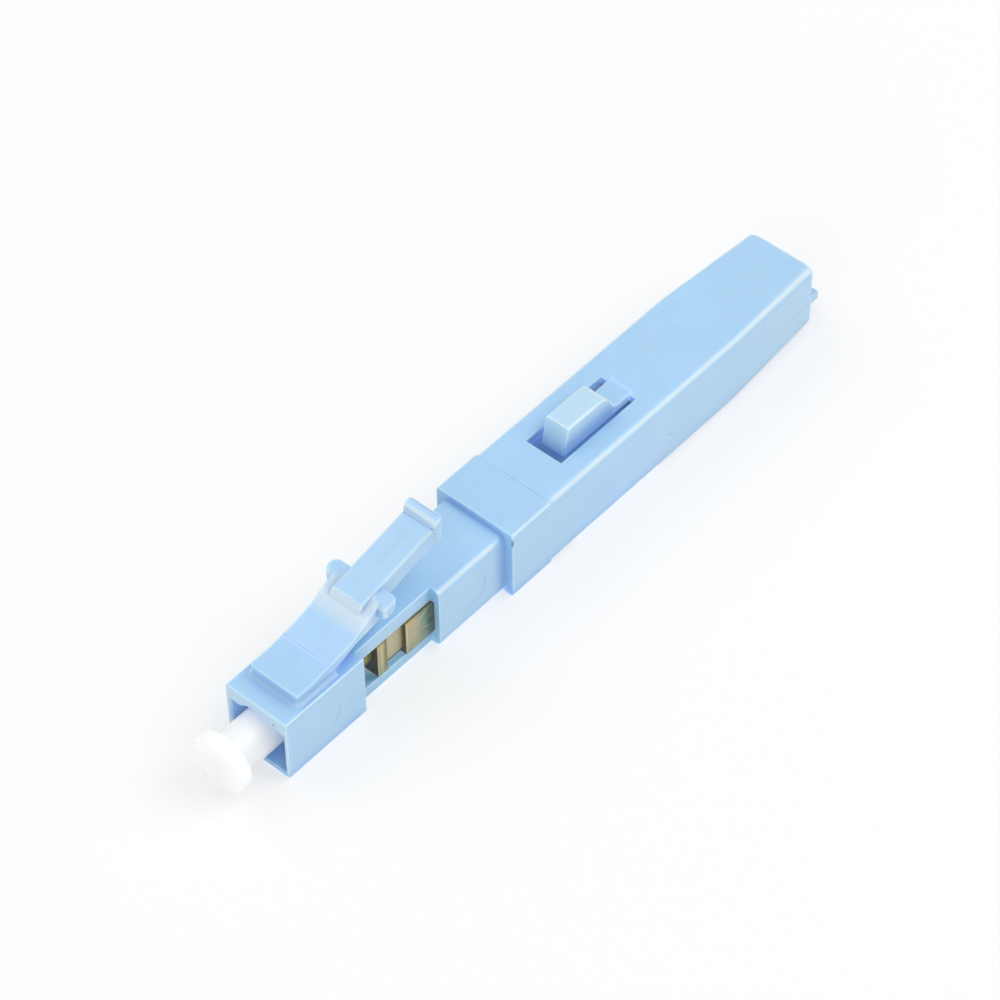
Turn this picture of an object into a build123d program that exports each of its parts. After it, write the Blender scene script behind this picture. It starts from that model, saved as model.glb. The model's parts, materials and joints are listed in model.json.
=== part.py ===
from build123d import *
from math import cos, radians, sin
import os

# A field-fitted LC optical connector: plug with latch, tail sleeve with button, dust cap.
# The origin is on the optical axis at the plug's mating face. X runs to the cable end.

# Plug, waist, rear block and collar, measured about the optical axis
plug_width = 4.52
plug_height = 4.6
plug_length = 6.2
plug_edge = 0.12
waist_width = 3.2
waist_length = 6.1
block_length = 5.5
block_edge = 0.4
collar_width = 5.74
collar_length = 3.3
collar_edge = 0.22
top_level = 2.73
base_level = -2.46

# Front opening and the stepped passage behind it
opening_radius = 1.75
opening_width = 3.86
opening_shoulder = 1.15
opening_floor = 0.2
opening_depth = 4.6
lead_in = 0.12
partition = 1.2
cavity_width = 3.7
cavity_roof = 1.2
cavity_floor = -1.5
spigot_socket_width = 3.9
spigot_socket_height = 3.5
spigot_seat = 0.3

# Latch arm and the pad that carries it
pad_width = 3.52
pad_front = 1.45
pad_level_length = 1.2
pad_rise = 0.7
pad_slope = 0.27
pad_corner = 0.2
pad_foot_round = 0.32
latch_hinge_x = 4.5
latch_root_radius = 0.42
hinge_clearance = 0.02
arm_width = 2.24
arm_edge = 0.16
tip_width = 2.42
tip_corner = 0.3
wing_span = 4.64
wing_front = 7.95
wing_rear = 9.07
wing_corner = 0.45
neck_x = 5.6
neck_z = 3.5
rise_x = 6.5
rise_z = 3.84
root_belly_x = 6.1
root_belly_z = 3.2
wing_underside = 3.62
wing_front_top = 4.66
wing_crown_x = 8.4
wing_crown_z = 4.85
wing_slab_base = 3.75
wing_climb = 0.82
wing_margin = 0.2
shoulder_foot = 7.05
shoulder_foot_z = 4.2
shoulder_edge = 7.45
shoulder_top = 4.78
lever_belly_x = 9.8
lever_belly_z = 3.9
haunch_x = 11.45
haunch_z = 4.4
tip_underside = 5.05
tip_foot_z = 4.9
tip_foot_lead = 0.25
crease_x = 13.2
crease_z = 6.0
tip_step_x = 13.38
tip_step_z = 6.3
tip_brow_x = 13.6
tip_brow_z = 6.44
tip_rear = 14.0
tip_z = 6.5
tip_rear_drop = 0.06
tip_bevel_length = 0.15
tip_core_x = 13.6

# Ferrule, flange and fibre stub
ferrule_diameter = 1.249
ferrule_length = 6.5
ferrule_reach = 1.8
ferrule_chamfer = 0.18
fibre_diameter = 0.125
fibre_clearance = 0.0075
nose_diameter = 1.9
nose_front = 3.2
nose_clearance = 0.05
shoulder_diameter = 2.28
shoulder_length = 0.5
spigot_diameter = 1.0
flange_spigot = 1.0
fibre_passage = 0.3

# Splice holder and the parts clipped inside it
holder_slack = 0.06
holder_nose = 1.6
core_width = 2.5
front_rib_width = 3.24
front_rib_length = 0.8
panel_width = 2.9
panel_length = 1.4
panel_floor = -0.95
rear_panel_width = 3.44
splice_well_width = 2.0
splice_well_floor = -1.0
holder_rear_wall = 0.6
well_wall = 0.3
splice_end_gap = 0.1
splice_width = 1.6
splice_length = 6.0
splice_depth = 0.8
cover_gap = 0.2
cover_top = 0.6
coat_diameter = 0.25
clip_thickness = 0.12
clip_length = 2.3
clip_slack = 0.02

# Ferrule spring and fibre guide
spring_radius = 0.95
spring_wire = 0.26
spring_wire_sides = 6
spring_turns = 4.5
guide_diameter = 1.2
guide_flange_diameter = 2.3
guide_flange = 0.25
guide_gap = 0.8
guide_rear = 21.5
funnel_diameter = 0.9

# Inner body, coat clamp and cable lid
spring_seat = 18.6
spigot_clearance = 0.05
spring_well_diameter = 2.5
body_side_gap = 0.16
body_floor_gap = 0.06
body_headroom = 0.78
channel_start = 31.0
channel_wall = 0.28
channel_floor = -0.85
lid_headroom = 1.13
body_end = 44.6
lip_end = 46.7
lip_top = -0.7
lip_thickness = 0.6
clamp_front = 26.0
clamp_rear = 30.2
clamp_front_diameter = 1.3
clamp_rear_diameter = 1.9
clamp_bore = 0.6
clamp_slit = 0.2
lid_rear = 44.3
lid_rise = 0.62
lid_press = 0.1
lid_seat_gap = 0.02
lid_side_gap = 0.05
lid_step_gap = 0.15
lug_gap = 0.04
ridge_pitch = 0.8
ridge_width = 0.22
ridge_height = 0.14
ridge_root = 0.06
ridge_count = 8
ridge_middle = 39.5
pin_x = 33.25
pin_height = 0.32
pin_diameter = 0.56
lug_radius = 0.62
lug_width = 0.3
running_clearance = 0.03

# Tail sleeve and its button
sleeve_width = 5.68
sleeve_edge = 0.45
sleeve_rear_edge = 0.6
taper_start = 37.6
taper_side = 0.37
taper_drop = 0.16
taper_rise = 0.2
sleeve_end = 45.6
sleeve_wall = 0.5
sleeve_rear_wall = 0.34
sleeve_end_wall = 0.6
sleeve_end_round = 0.45
end_round_steps = 4
seam_gap = 0.02
mouth_side_wall = 0.42
mouth_floor = -1.45
mouth_roof = 1.35
slot_front = 23.75
slot_rear = 30.3
slot_width = 2.62
slot_gap = 0.46
button_root_radius = 0.35
button_front = 24.5
button_top_front = 24.95
button_top_rear = 27.6
button_ramp_end = 29.25
button_rise = 1.5
button_round = 0.18

# Dust cap
cap_head_diameter = 3.8
cap_head_length = 0.9
cap_front = 3.2
cap_stem_diameter = 2.65
cap_stem_rear = 2.4
cap_bore_clearance = 0.025
cap_round = 0.2
cap_rear_bevel = 0.12

# Levels and stations that follow from the sizes above
plug_top = plug_height / 2
plug_base = -plug_height / 2
block_start = plug_length + waist_length
collar_start = block_start + block_length
seam = collar_start + collar_length
opening_base = plug_base + opening_floor
passage_start = opening_depth + partition
cavity_height = cavity_roof - cavity_floor
cavity_mid = (cavity_roof + cavity_floor) / 2
outer_height = top_level - base_level
outer_mid = (top_level + base_level) / 2
pad_top = plug_top + pad_rise
pad_rear_top = pad_top + pad_slope
pad_grade = pad_slope / (latch_hinge_x - pad_front - pad_level_length)
latch_hinge_z = pad_top
ferrule_radius = ferrule_diameter / 2
fibre_radius = fibre_diameter / 2
ferrule_rear = ferrule_length - ferrule_reach
shoulder_rear = passage_start + shoulder_length
holder_front = shoulder_rear
core_front = holder_front + holder_nose
holder_top = cavity_roof - holder_slack
holder_base = cavity_floor + holder_slack
well_front = core_front + well_wall
splice_front = well_front + splice_end_gap
splice_rear = splice_front + splice_length
splice_mid = (splice_front + splice_rear) / 2
well_rear = splice_rear + splice_end_gap
holder_rear = well_rear + holder_rear_wall
holder_length = holder_rear - holder_front
guide_front = holder_rear + guide_gap
fibre_end = splice_mid - 0.1
base_top = 0.02
cover_floor = fibre_radius + 0.0025
guide_flange_front = spring_seat - guide_flange
sleeve_front = seam + seam_gap
sleeve_inner_end = sleeve_end - sleeve_end_wall
sleeve_rear_width = sleeve_width - 2 * taper_side
sleeve_rear_top = top_level - taper_drop
sleeve_rear_base = base_level + taper_rise
sleeve_rear_height = sleeve_rear_top - sleeve_rear_base
sleeve_rear_mid = (sleeve_rear_top + sleeve_rear_base) / 2
sleeve_corner = sleeve_edge / 2
mouth_width = sleeve_rear_width - 2 * mouth_side_wall
body_width = sleeve_rear_width - 2 * sleeve_rear_wall - 2 * body_side_gap
body_floor = sleeve_rear_base + sleeve_rear_wall + body_floor_gap
body_roof = top_level - sleeve_wall - body_headroom
channel_width = body_width - 2 * channel_wall
wall_top = top_level - sleeve_wall - lid_headroom
pin_z = wall_top + pin_height
button_bottom = top_level - sleeve_wall
button_root_z = top_level - sleeve_wall / 2
button_width = slot_width - 2 * slot_gap
cap_head_rear = -cap_front + cap_head_length

# Plug housing: front block, waist, rear block, collar and latch pad in one moulding
with BuildPart() as plug_housing:
    with BuildSketch(Plane.YZ):
        RectangleRounded(plug_width, plug_height, plug_edge)
    extrude(amount=plug_length)
    with BuildSketch(Plane.YZ.offset(plug_length)):
        RectangleRounded(waist_width, plug_height, plug_edge / 2)
    extrude(amount=waist_length)
    with BuildSketch(Plane.YZ.offset(block_start)):
        RectangleRounded(plug_width, plug_height, block_edge)
    extrude(amount=block_length)
    with BuildSketch(Plane.YZ.offset(collar_start)):
        with Locations((0, outer_mid)):
            RectangleRounded(collar_width, outer_height, collar_edge)
    extrude(amount=collar_length)

    # Latch pad with the round seat of the latch root
    with BuildSketch(Plane.XZ):
        with BuildLine():
            Polyline(
                (pad_front, plug_top - plug_edge),
                (pad_front, pad_top),
                (pad_front + pad_level_length, pad_top),
                (latch_hinge_x, pad_rear_top),
                (latch_hinge_x, plug_top - plug_edge),
                close=True,
            )
        make_face()
    extrude(amount=pad_width / 2, both=True)
    pad_front_face = plug_housing.faces().filter_by(Plane.YZ).filter_by_position(
        Axis.X, pad_front - 0.01, pad_front + 0.01)
    fillet(pad_front_face.edges().filter_by(Axis.Z), radius=pad_corner)
    pad_foot = plug_housing.edges().filter_by_position(
        Axis.Z, plug_top - 0.001, plug_top + 0.001).filter_by_position(
        Axis.X, pad_front - 0.01, latch_hinge_x - 0.1).filter_by_position(
        Axis.Y, -pad_width / 2 - 0.01, pad_width / 2 + 0.01)
    fillet(pad_foot, radius=pad_foot_round)
    with Locations(Location((latch_hinge_x, 0, latch_hinge_z), (90, 0, 0))):
        Cylinder(latch_root_radius + hinge_clearance, pad_width + 1, mode=Mode.SUBTRACT)

    # Front opening: a round arch above a square mouth, with a small lead-in
    with BuildSketch(Plane.YZ):
        Circle(opening_radius)
        with Locations((0, (opening_shoulder + opening_base) / 2)):
            Rectangle(opening_width, opening_shoulder - opening_base)
    extrude(amount=opening_depth, mode=Mode.SUBTRACT)
    mouth_edges = plug_housing.faces().sort_by(Axis.X)[0].inner_wires().edges()
    chamfer(mouth_edges.filter_by(GeomType.LINE), length=lead_in)

    # Ferrule nose bore, splice cavity open at both sides of the waist, spigot socket
    with BuildSketch(Plane.YZ.offset(opening_depth)):
        Circle(nose_diameter / 2 + nose_clearance)
    extrude(amount=partition, mode=Mode.SUBTRACT)
    with BuildSketch(Plane.YZ.offset(passage_start)):
        with Locations((0, cavity_mid)):
            Rectangle(cavity_width, cavity_height)
    extrude(amount=collar_start + spigot_seat - passage_start, mode=Mode.SUBTRACT)
    with BuildSketch(Plane.YZ.offset(collar_start + spigot_seat)):
        Rectangle(spigot_socket_width, spigot_socket_height)
    extrude(amount=collar_length - spigot_seat, mode=Mode.SUBTRACT)

# Latch arm: wide springy root, two side wings, narrow thumb lever with a raised tip
root_reach = 2 * latch_root_radius
with BuildPart() as latch_arm:
    # Thumb lever with softened long edges
    with BuildSketch(Plane.XZ):
        with BuildLine():
            Polyline(
                (shoulder_foot, shoulder_foot_z - 0.05),
                (shoulder_edge, shoulder_top),
                (crease_x, crease_z),
                (tip_core_x, crease_z),
                (tip_core_x, tip_foot_z),
                (haunch_x, haunch_z),
                (lever_belly_x, lever_belly_z),
                (wing_front, wing_underside),
                (shoulder_foot, wing_underside),
                close=True,
            )
        make_face()
    extrude(amount=arm_width / 2, both=True)
    lever_mid_x = (shoulder_edge + crease_x) / 2
    lever_mid_z = (shoulder_top + crease_z) / 2
    near_edge = latch_arm.edges().sort_by_distance((lever_mid_x, -arm_width / 2, lever_mid_z))[0]
    far_edge = latch_arm.edges().sort_by_distance((lever_mid_x, arm_width / 2, lever_mid_z))[0]
    fillet([near_edge, far_edge], radius=arm_edge)

    # Raised tip: a steep step, a rounded brow and rounded corners seen from above
    with BuildPart(mode=Mode.PRIVATE) as tip_slab:
        with BuildSketch(Plane.XY):
            with Locations(((crease_x + tip_rear) / 2, 0)):
                RectangleRounded(tip_rear - crease_x, tip_width, tip_corner)
        extrude(amount=2 * tip_z)
    with BuildSketch(Plane.XZ):
        with BuildLine():
            Polyline(
                (crease_x, crease_z),
                (tip_step_x, tip_step_z),
                (tip_brow_x, tip_brow_z),
                (tip_rear - tip_bevel_length, tip_z),
                (tip_rear, tip_z - tip_rear_drop),
                (tip_rear, tip_underside),
                (crease_x, tip_foot_z - tip_foot_lead / 2),
                close=True,
            )
        make_face()
    tip_profile = extrude(amount=tip_width / 2, both=True, mode=Mode.PRIVATE)
    add(tip_profile & tip_slab.part)

    # Round root, cut level with the top of the pad
    with BuildSketch(Plane.XZ):
        with Locations((latch_hinge_x, latch_hinge_z)):
            Circle(latch_root_radius)
        with BuildLine():
            Polyline(
                (latch_hinge_x - root_reach, pad_rear_top - root_reach * pad_grade),
                (latch_hinge_x + root_reach, pad_rear_top + root_reach * pad_grade),
                (latch_hinge_x + root_reach, latch_hinge_z - root_reach),
                (latch_hinge_x - root_reach, latch_hinge_z - root_reach),
                close=True,
            )
        make_face(mode=Mode.INTERSECT)
    extrude(amount=pad_width / 2, both=True)

    # Wide springy arm that rises to the wings
    with BuildSketch(Plane.XZ):
        with BuildLine():
            top_curve = Spline(
                (latch_hinge_x, pad_rear_top),
                (neck_x, neck_z),
                (rise_x, rise_z),
                (shoulder_foot, shoulder_foot_z),
                (wing_front, wing_front_top),
                (wing_crown_x, wing_crown_z),
                tangents=[(1, pad_grade), (1, 0.1)],
            )
            Polyline(
                top_curve @ 1,
                ((wing_front + wing_rear) / 2, wing_crown_z),
                ((wing_front + wing_rear) / 2, wing_underside),
                (root_belly_x, root_belly_z),
                (latch_hinge_x, latch_hinge_z - latch_root_radius),
                (latch_hinge_x, pad_rear_top),
            )
        make_face()
    extrude(amount=pad_width / 2, both=True)

    # Wings: a slab across the arm with a level top and rounded outer corners
    with BuildPart(mode=Mode.PRIVATE) as wing_slab:
        with BuildSketch(Plane.XY):
            with Locations(((wing_front + wing_rear) / 2, 0)):
                RectangleRounded(wing_rear - wing_front, wing_span, wing_corner)
        extrude(amount=2 * crease_z)
    with BuildSketch(Plane.XZ):
        with BuildLine():
            Polyline(
                (wing_front - wing_margin, wing_slab_base),
                (wing_front - wing_margin, wing_front_top - wing_margin / 2),
                (wing_front, wing_front_top),
                (wing_crown_x, wing_crown_z),
                (wing_rear + wing_margin, wing_crown_z),
                (wing_rear + wing_margin, wing_slab_base + wing_climb),
                close=True,
            )
        make_face()
    wing_profile = extrude(amount=wing_span / 2, both=True, mode=Mode.PRIVATE)
    add(wing_profile & wing_slab.part)

# Ferrule with its chamfered tip and fibre bore
with BuildPart() as ferrule:
    with BuildSketch(Plane.YZ.offset(-ferrule_reach)):
        Circle(ferrule_radius)
        Circle(fibre_radius + fibre_clearance, mode=Mode.SUBTRACT)
    extrude(amount=ferrule_length)
    tip_face = ferrule.faces().sort_by(Axis.X)[0]
    chamfer(tip_face.outer_wire().edges(), length=ferrule_chamfer)

# Flange that carries the ferrule and stops on the partition
with BuildPart() as ferrule_flange:
    with BuildSketch(Plane.YZ.offset(nose_front)):
        Circle(nose_diameter / 2)
    extrude(amount=passage_start - nose_front)
    with BuildSketch(Plane.YZ.offset(passage_start)):
        Circle(shoulder_diameter / 2)
    extrude(amount=shoulder_length)
    with BuildSketch(Plane.YZ.offset(shoulder_rear)):
        Circle(spigot_diameter / 2)
    extrude(amount=flange_spigot)
    with BuildSketch(Plane.YZ.offset(nose_front)):
        Circle(ferrule_radius + 0.005)
    extrude(amount=ferrule_rear - nose_front, mode=Mode.SUBTRACT)
    with BuildSketch(Plane.YZ.offset(ferrule_rear)):
        Circle(fibre_passage / 2)
    extrude(amount=shoulder_rear + flange_spigot - ferrule_rear, mode=Mode.SUBTRACT)
    front_ring = ferrule_flange.faces().sort_by(Axis.X)[0]
    chamfer(front_ring.outer_wire().edges(), length=0.12)

# Fibre stub from the ferrule tip to the middle of the splice
with BuildPart() as fibre_stub:
    with BuildSketch(Plane.YZ.offset(-ferrule_reach)):
        Circle(fibre_radius)
    extrude(amount=ferrule_reach + fibre_end)

# Splice holder: round nose, ribbed sides and an open well
with BuildPart() as splice_holder:
    with BuildSketch(Plane.YZ.offset(holder_front)):
        Circle(shoulder_diameter / 2)
    extrude(amount=holder_nose)
    with BuildSketch(Plane.YZ.offset(core_front)):
        with Locations((0, (holder_top + holder_base) / 2)):
            Rectangle(core_width, holder_top - holder_base)
    extrude(amount=holder_rear - core_front)
    with BuildSketch(Plane.YZ.offset(core_front)):
        with Locations((0, (holder_top + holder_base) / 2)):
            Rectangle(front_rib_width, holder_top - holder_base)
    extrude(amount=front_rib_length)
    with BuildSketch(Plane.YZ.offset(core_front + front_rib_length)):
        with Locations((0, (holder_top + panel_floor) / 2)):
            Rectangle(panel_width, holder_top - panel_floor)
    extrude(amount=panel_length)
    with BuildSketch(Plane.YZ.offset(core_front + front_rib_length + panel_length)):
        with Locations((0, (holder_top + holder_base) / 2)):
            Rectangle(rear_panel_width, holder_top - holder_base)
    extrude(amount=holder_length - holder_nose - front_rib_length - panel_length)
    with BuildSketch(Plane.YZ.offset(holder_front)):
        Circle(spigot_diameter / 2 + 0.01)
    extrude(amount=flange_spigot + 0.05, mode=Mode.SUBTRACT)
    with BuildSketch(Plane.YZ.offset(holder_front)):
        Circle(fibre_passage / 2)
    extrude(amount=holder_length, mode=Mode.SUBTRACT)
    with BuildSketch(Plane.YZ.offset(well_front)):
        with Locations((0, (holder_top + 1 + splice_well_floor) / 2)):
            Rectangle(splice_well_width, holder_top + 1 - splice_well_floor)
    extrude(amount=well_rear - well_front, mode=Mode.SUBTRACT)
    with BuildSketch(Plane.YZ.offset(well_rear)):
        Circle(funnel_diameter / 2)
    extrude(amount=holder_rear_wall, mode=Mode.SUBTRACT)

# Splice base with a fine groove for bare fibre and a wider one for coated fibre
groove_depth = fibre_radius * 1.4142 + 0.004
coat_groove_depth = coat_diameter / 2 * 1.4142 + 0.004
with BuildPart() as splice_base:
    with BuildSketch(Plane.YZ.offset(splice_front)):
        with Locations((0, (base_top - splice_depth) / 2)):
            Rectangle(splice_width, splice_depth + base_top)
    extrude(amount=splice_length)
    with BuildSketch(Plane.YZ.offset(splice_front)):
        with BuildLine():
            Polyline(
                (0, -groove_depth),
                (groove_depth + base_top + 0.1, base_top + 0.1),
                (-groove_depth - base_top - 0.1, base_top + 0.1),
                close=True,
            )
        make_face()
    extrude(amount=splice_length, mode=Mode.SUBTRACT)
    with BuildSketch(Plane.YZ.offset(splice_mid + 0.6)):
        with BuildLine():
            Polyline(
                (0, -coat_groove_depth),
                (coat_groove_depth + base_top + 0.1, base_top + 0.1),
                (-coat_groove_depth - base_top - 0.1, base_top + 0.1),
                close=True,
            )
        make_face()
    extrude(amount=splice_length / 2 - 0.6, mode=Mode.SUBTRACT)

# Front cover over the bare fibre
cover_length = (splice_length - cover_gap) / 2
with BuildPart() as splice_cover_front:
    with BuildSketch(Plane.YZ.offset(splice_front)):
        with Locations((0, (cover_top + cover_floor) / 2)):
            Rectangle(splice_width, cover_top - cover_floor)
    extrude(amount=cover_length)

# Rear cover over the coated fibre, relieved along the middle
with BuildPart() as splice_cover_rear:
    with BuildSketch(Plane.YZ.offset(splice_rear - cover_length)):
        with Locations((0, (cover_top + cover_floor) / 2)):
            Rectangle(splice_width, cover_top - cover_floor)
        with Locations((0, cover_floor)):
            Rectangle(coat_diameter, 0.14, mode=Mode.SUBTRACT)
    extrude(amount=cover_length)

# Two C-shaped steel clips that squeeze the covers onto the base
clip_inner = splice_width / 2 + clip_slack
with BuildPart() as splice_clip_front:
    with BuildSketch(Plane.YZ.offset(splice_front + (cover_length - clip_length) / 2)):
        with BuildLine():
            Polyline(
                (splice_width / 4, cover_top + clip_slack),
                (-clip_inner, cover_top + clip_slack),
                (-clip_inner, -splice_depth - clip_slack),
                (splice_width / 4, -splice_depth - clip_slack),
                (splice_width / 4, -splice_depth - clip_slack - clip_thickness),
                (-clip_inner - clip_thickness, -splice_depth - clip_slack - clip_thickness),
                (-clip_inner - clip_thickness, cover_top + clip_slack + clip_thickness),
                (splice_width / 4, cover_top + clip_slack + clip_thickness),
                close=True,
            )
        make_face()
    extrude(amount=clip_length)

with BuildPart() as splice_clip_rear:
    add(splice_clip_front.part.moved(Location((cover_length + cover_gap, 0, 0))))

# Ferrule spring, a fine wire wound about the optical axis
spring_front = holder_rear + spring_wire / 2 + 0.01
spring_height = guide_flange_front - spring_wire / 2 - 0.01 - spring_front
with BuildPart() as ferrule_spring:
    with BuildLine():
        spring_path = Helix(
            pitch=spring_height / spring_turns,
            height=spring_height,
            radius=spring_radius,
            center=(spring_front, 0, 0),
            direction=(1, 0, 0),
        )
    with BuildSketch(Plane(origin=spring_path @ 0, z_dir=spring_path % 0)):
        RegularPolygon(spring_wire / 2, spring_wire_sides)
    sweep(path=spring_path, is_frenet=True)

# Fibre guide: slim tube through the spring, with a rear funnel
with BuildPart() as fibre_guide:
    with BuildSketch(Plane.YZ.offset(guide_front)):
        Circle(guide_diameter / 2)
    extrude(amount=guide_rear - guide_front)
    with BuildSketch(Plane.YZ.offset(guide_flange_front)):
        Circle(guide_flange_diameter / 2)
    extrude(amount=guide_flange)
    with BuildSketch(Plane.YZ.offset(guide_front)):
        Circle(coat_diameter / 2 + 0.03)
    extrude(amount=guide_rear - guide_front, mode=Mode.SUBTRACT)
    with BuildSketch(Plane.YZ.offset(guide_rear - 1.5)):
        Circle(coat_diameter / 2 + 0.03)
    with BuildSketch(Plane.YZ.offset(guide_rear)):
        Circle(funnel_diameter / 2)
    loft(mode=Mode.SUBTRACT)

# Inner body: spigot, clamp seat and open cable channel with a tail lip
with BuildPart() as inner_body:
    with BuildSketch(Plane.YZ.offset(collar_start + spigot_seat + spigot_clearance)):
        Rectangle(spigot_socket_width - 2 * spigot_clearance, spigot_socket_height - 2 * spigot_clearance)
    extrude(amount=seam - collar_start - spigot_seat)
    with BuildSketch(Plane.YZ.offset(seam)):
        with Locations((0, (body_roof + body_floor) / 2)):
            Rectangle(body_width, body_roof - body_floor)
    extrude(amount=channel_start - seam)
    with BuildSketch(Plane.YZ.offset(channel_start)):
        with Locations((0, (wall_top + body_floor) / 2)):
            Rectangle(body_width, wall_top - body_floor)
    extrude(amount=body_end - channel_start)
    with BuildSketch(Plane.YZ.offset(body_end)):
        with Locations((0, lip_top - lip_thickness / 2)):
            Rectangle(body_width, lip_thickness)
    extrude(amount=lip_end - body_end)

    # Lugs for the lid pin stand on both walls
    with BuildSketch(Plane.XZ):
        with Locations((pin_x, pin_z)):
            Circle(lug_radius)
        with Locations((pin_x, (pin_z + body_floor) / 2)):
            Rectangle(2 * lug_radius, pin_z - body_floor)
    extrude(amount=body_width / 2, both=True)

    # Cable channel, open above and behind
    with BuildSketch(Plane.YZ.offset(channel_start)):
        with Locations((0, (pin_z + 3 + channel_floor) / 2)):
            Rectangle(channel_width, pin_z + 3 - channel_floor)
    extrude(amount=body_end - channel_start, mode=Mode.SUBTRACT)
    with Locations(Location((pin_x, 0, pin_z), (90, 0, 0))):
        Cylinder(pin_diameter / 2 + 0.01, body_width + 1, mode=Mode.SUBTRACT)

    # Spring well, guide bore, coat passage and tapered clamp seat on the axis
    with BuildSketch(Plane.YZ.offset(collar_start)):
        Circle(spring_well_diameter / 2)
    extrude(amount=spring_seat - collar_start, mode=Mode.SUBTRACT)
    with BuildSketch(Plane.YZ.offset(spring_seat)):
        Circle(guide_diameter / 2 + 0.02)
    extrude(amount=clamp_front - spring_seat, mode=Mode.SUBTRACT)
    with BuildSketch(Plane.YZ.offset(clamp_front - 0.001)):
        Circle(clamp_front_diameter / 2 + running_clearance)
    with BuildSketch(Plane.YZ.offset(clamp_rear)):
        Circle(clamp_rear_diameter / 2 + running_clearance)
    loft(mode=Mode.SUBTRACT)
    with BuildSketch(Plane.YZ.offset(clamp_rear)):
        Circle(clamp_rear_diameter / 2 + running_clearance)
    extrude(amount=channel_start - clamp_rear, mode=Mode.SUBTRACT)

    # Gripping ridges across the channel floor
    with BuildSketch(Plane.XZ):
        with Locations((ridge_middle, channel_floor + (ridge_height - ridge_root) / 2)):
            with GridLocations(ridge_pitch, 1, ridge_count, 1):
                Rectangle(ridge_width, ridge_height + ridge_root)
    extrude(amount=(channel_width + channel_wall) / 2, both=True)

# Coat clamp: a slit tapered collet
with BuildPart() as coat_clamp:
    with BuildSketch(Plane.YZ.offset(clamp_front)):
        Circle(clamp_front_diameter / 2)
    with BuildSketch(Plane.YZ.offset(clamp_rear)):
        Circle(clamp_rear_diameter / 2)
    loft()
    with BuildSketch(Plane.YZ.offset(clamp_front)):
        Circle(clamp_bore / 2)
    extrude(amount=clamp_rear - clamp_front, mode=Mode.SUBTRACT)
    with BuildSketch(Plane.YZ.offset(clamp_front)):
        with Locations((0, clamp_rear_diameter / 2)):
            Rectangle(clamp_slit, clamp_rear_diameter)
    extrude(amount=clamp_rear - clamp_front - 0.8, mode=Mode.SUBTRACT)

# Cable lid that closes over the channel, with pressing ridges underneath
lid_inner = channel_width - 2 * lid_side_gap
lid_step = pin_x + lug_radius + lid_step_gap
lid_base = wall_top + lid_seat_gap
with BuildPart() as cable_lid:
    with BuildSketch(Plane.XZ):
        with Locations((pin_x, pin_z)):
            Circle(lug_radius - lug_gap)
        with Locations(((pin_x + lid_rear) / 2, lid_base + lid_rise / 2)):
            Rectangle(lid_rear - pin_x, lid_rise)
    extrude(amount=lid_inner / 2, both=True)
    with BuildSketch(Plane.XY.offset(lid_base)):
        with Locations(((lid_step + lid_rear) / 2, 0)):
            Rectangle(lid_rear - lid_step, body_width)
    extrude(amount=lid_rise)
    with BuildSketch(Plane.XZ):
        with Locations((ridge_middle - ridge_pitch / 2, lid_base + (ridge_root - lid_press) / 2)):
            with GridLocations(ridge_pitch, 1, ridge_count, 1):
                Rectangle(ridge_width, lid_press + ridge_root)
    extrude(amount=lid_inner / 2, both=True)
    with Locations(Location((pin_x, 0, pin_z), (90, 0, 0))):
        Cylinder(pin_diameter / 2 + running_clearance, body_width + 1, mode=Mode.SUBTRACT)

# Pin of the cable lid
with BuildPart() as lid_pin:
    with Locations(Location((pin_x, 0, pin_z), (90, 0, 0))):
        Cylinder(pin_diameter / 2, body_width)

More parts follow.
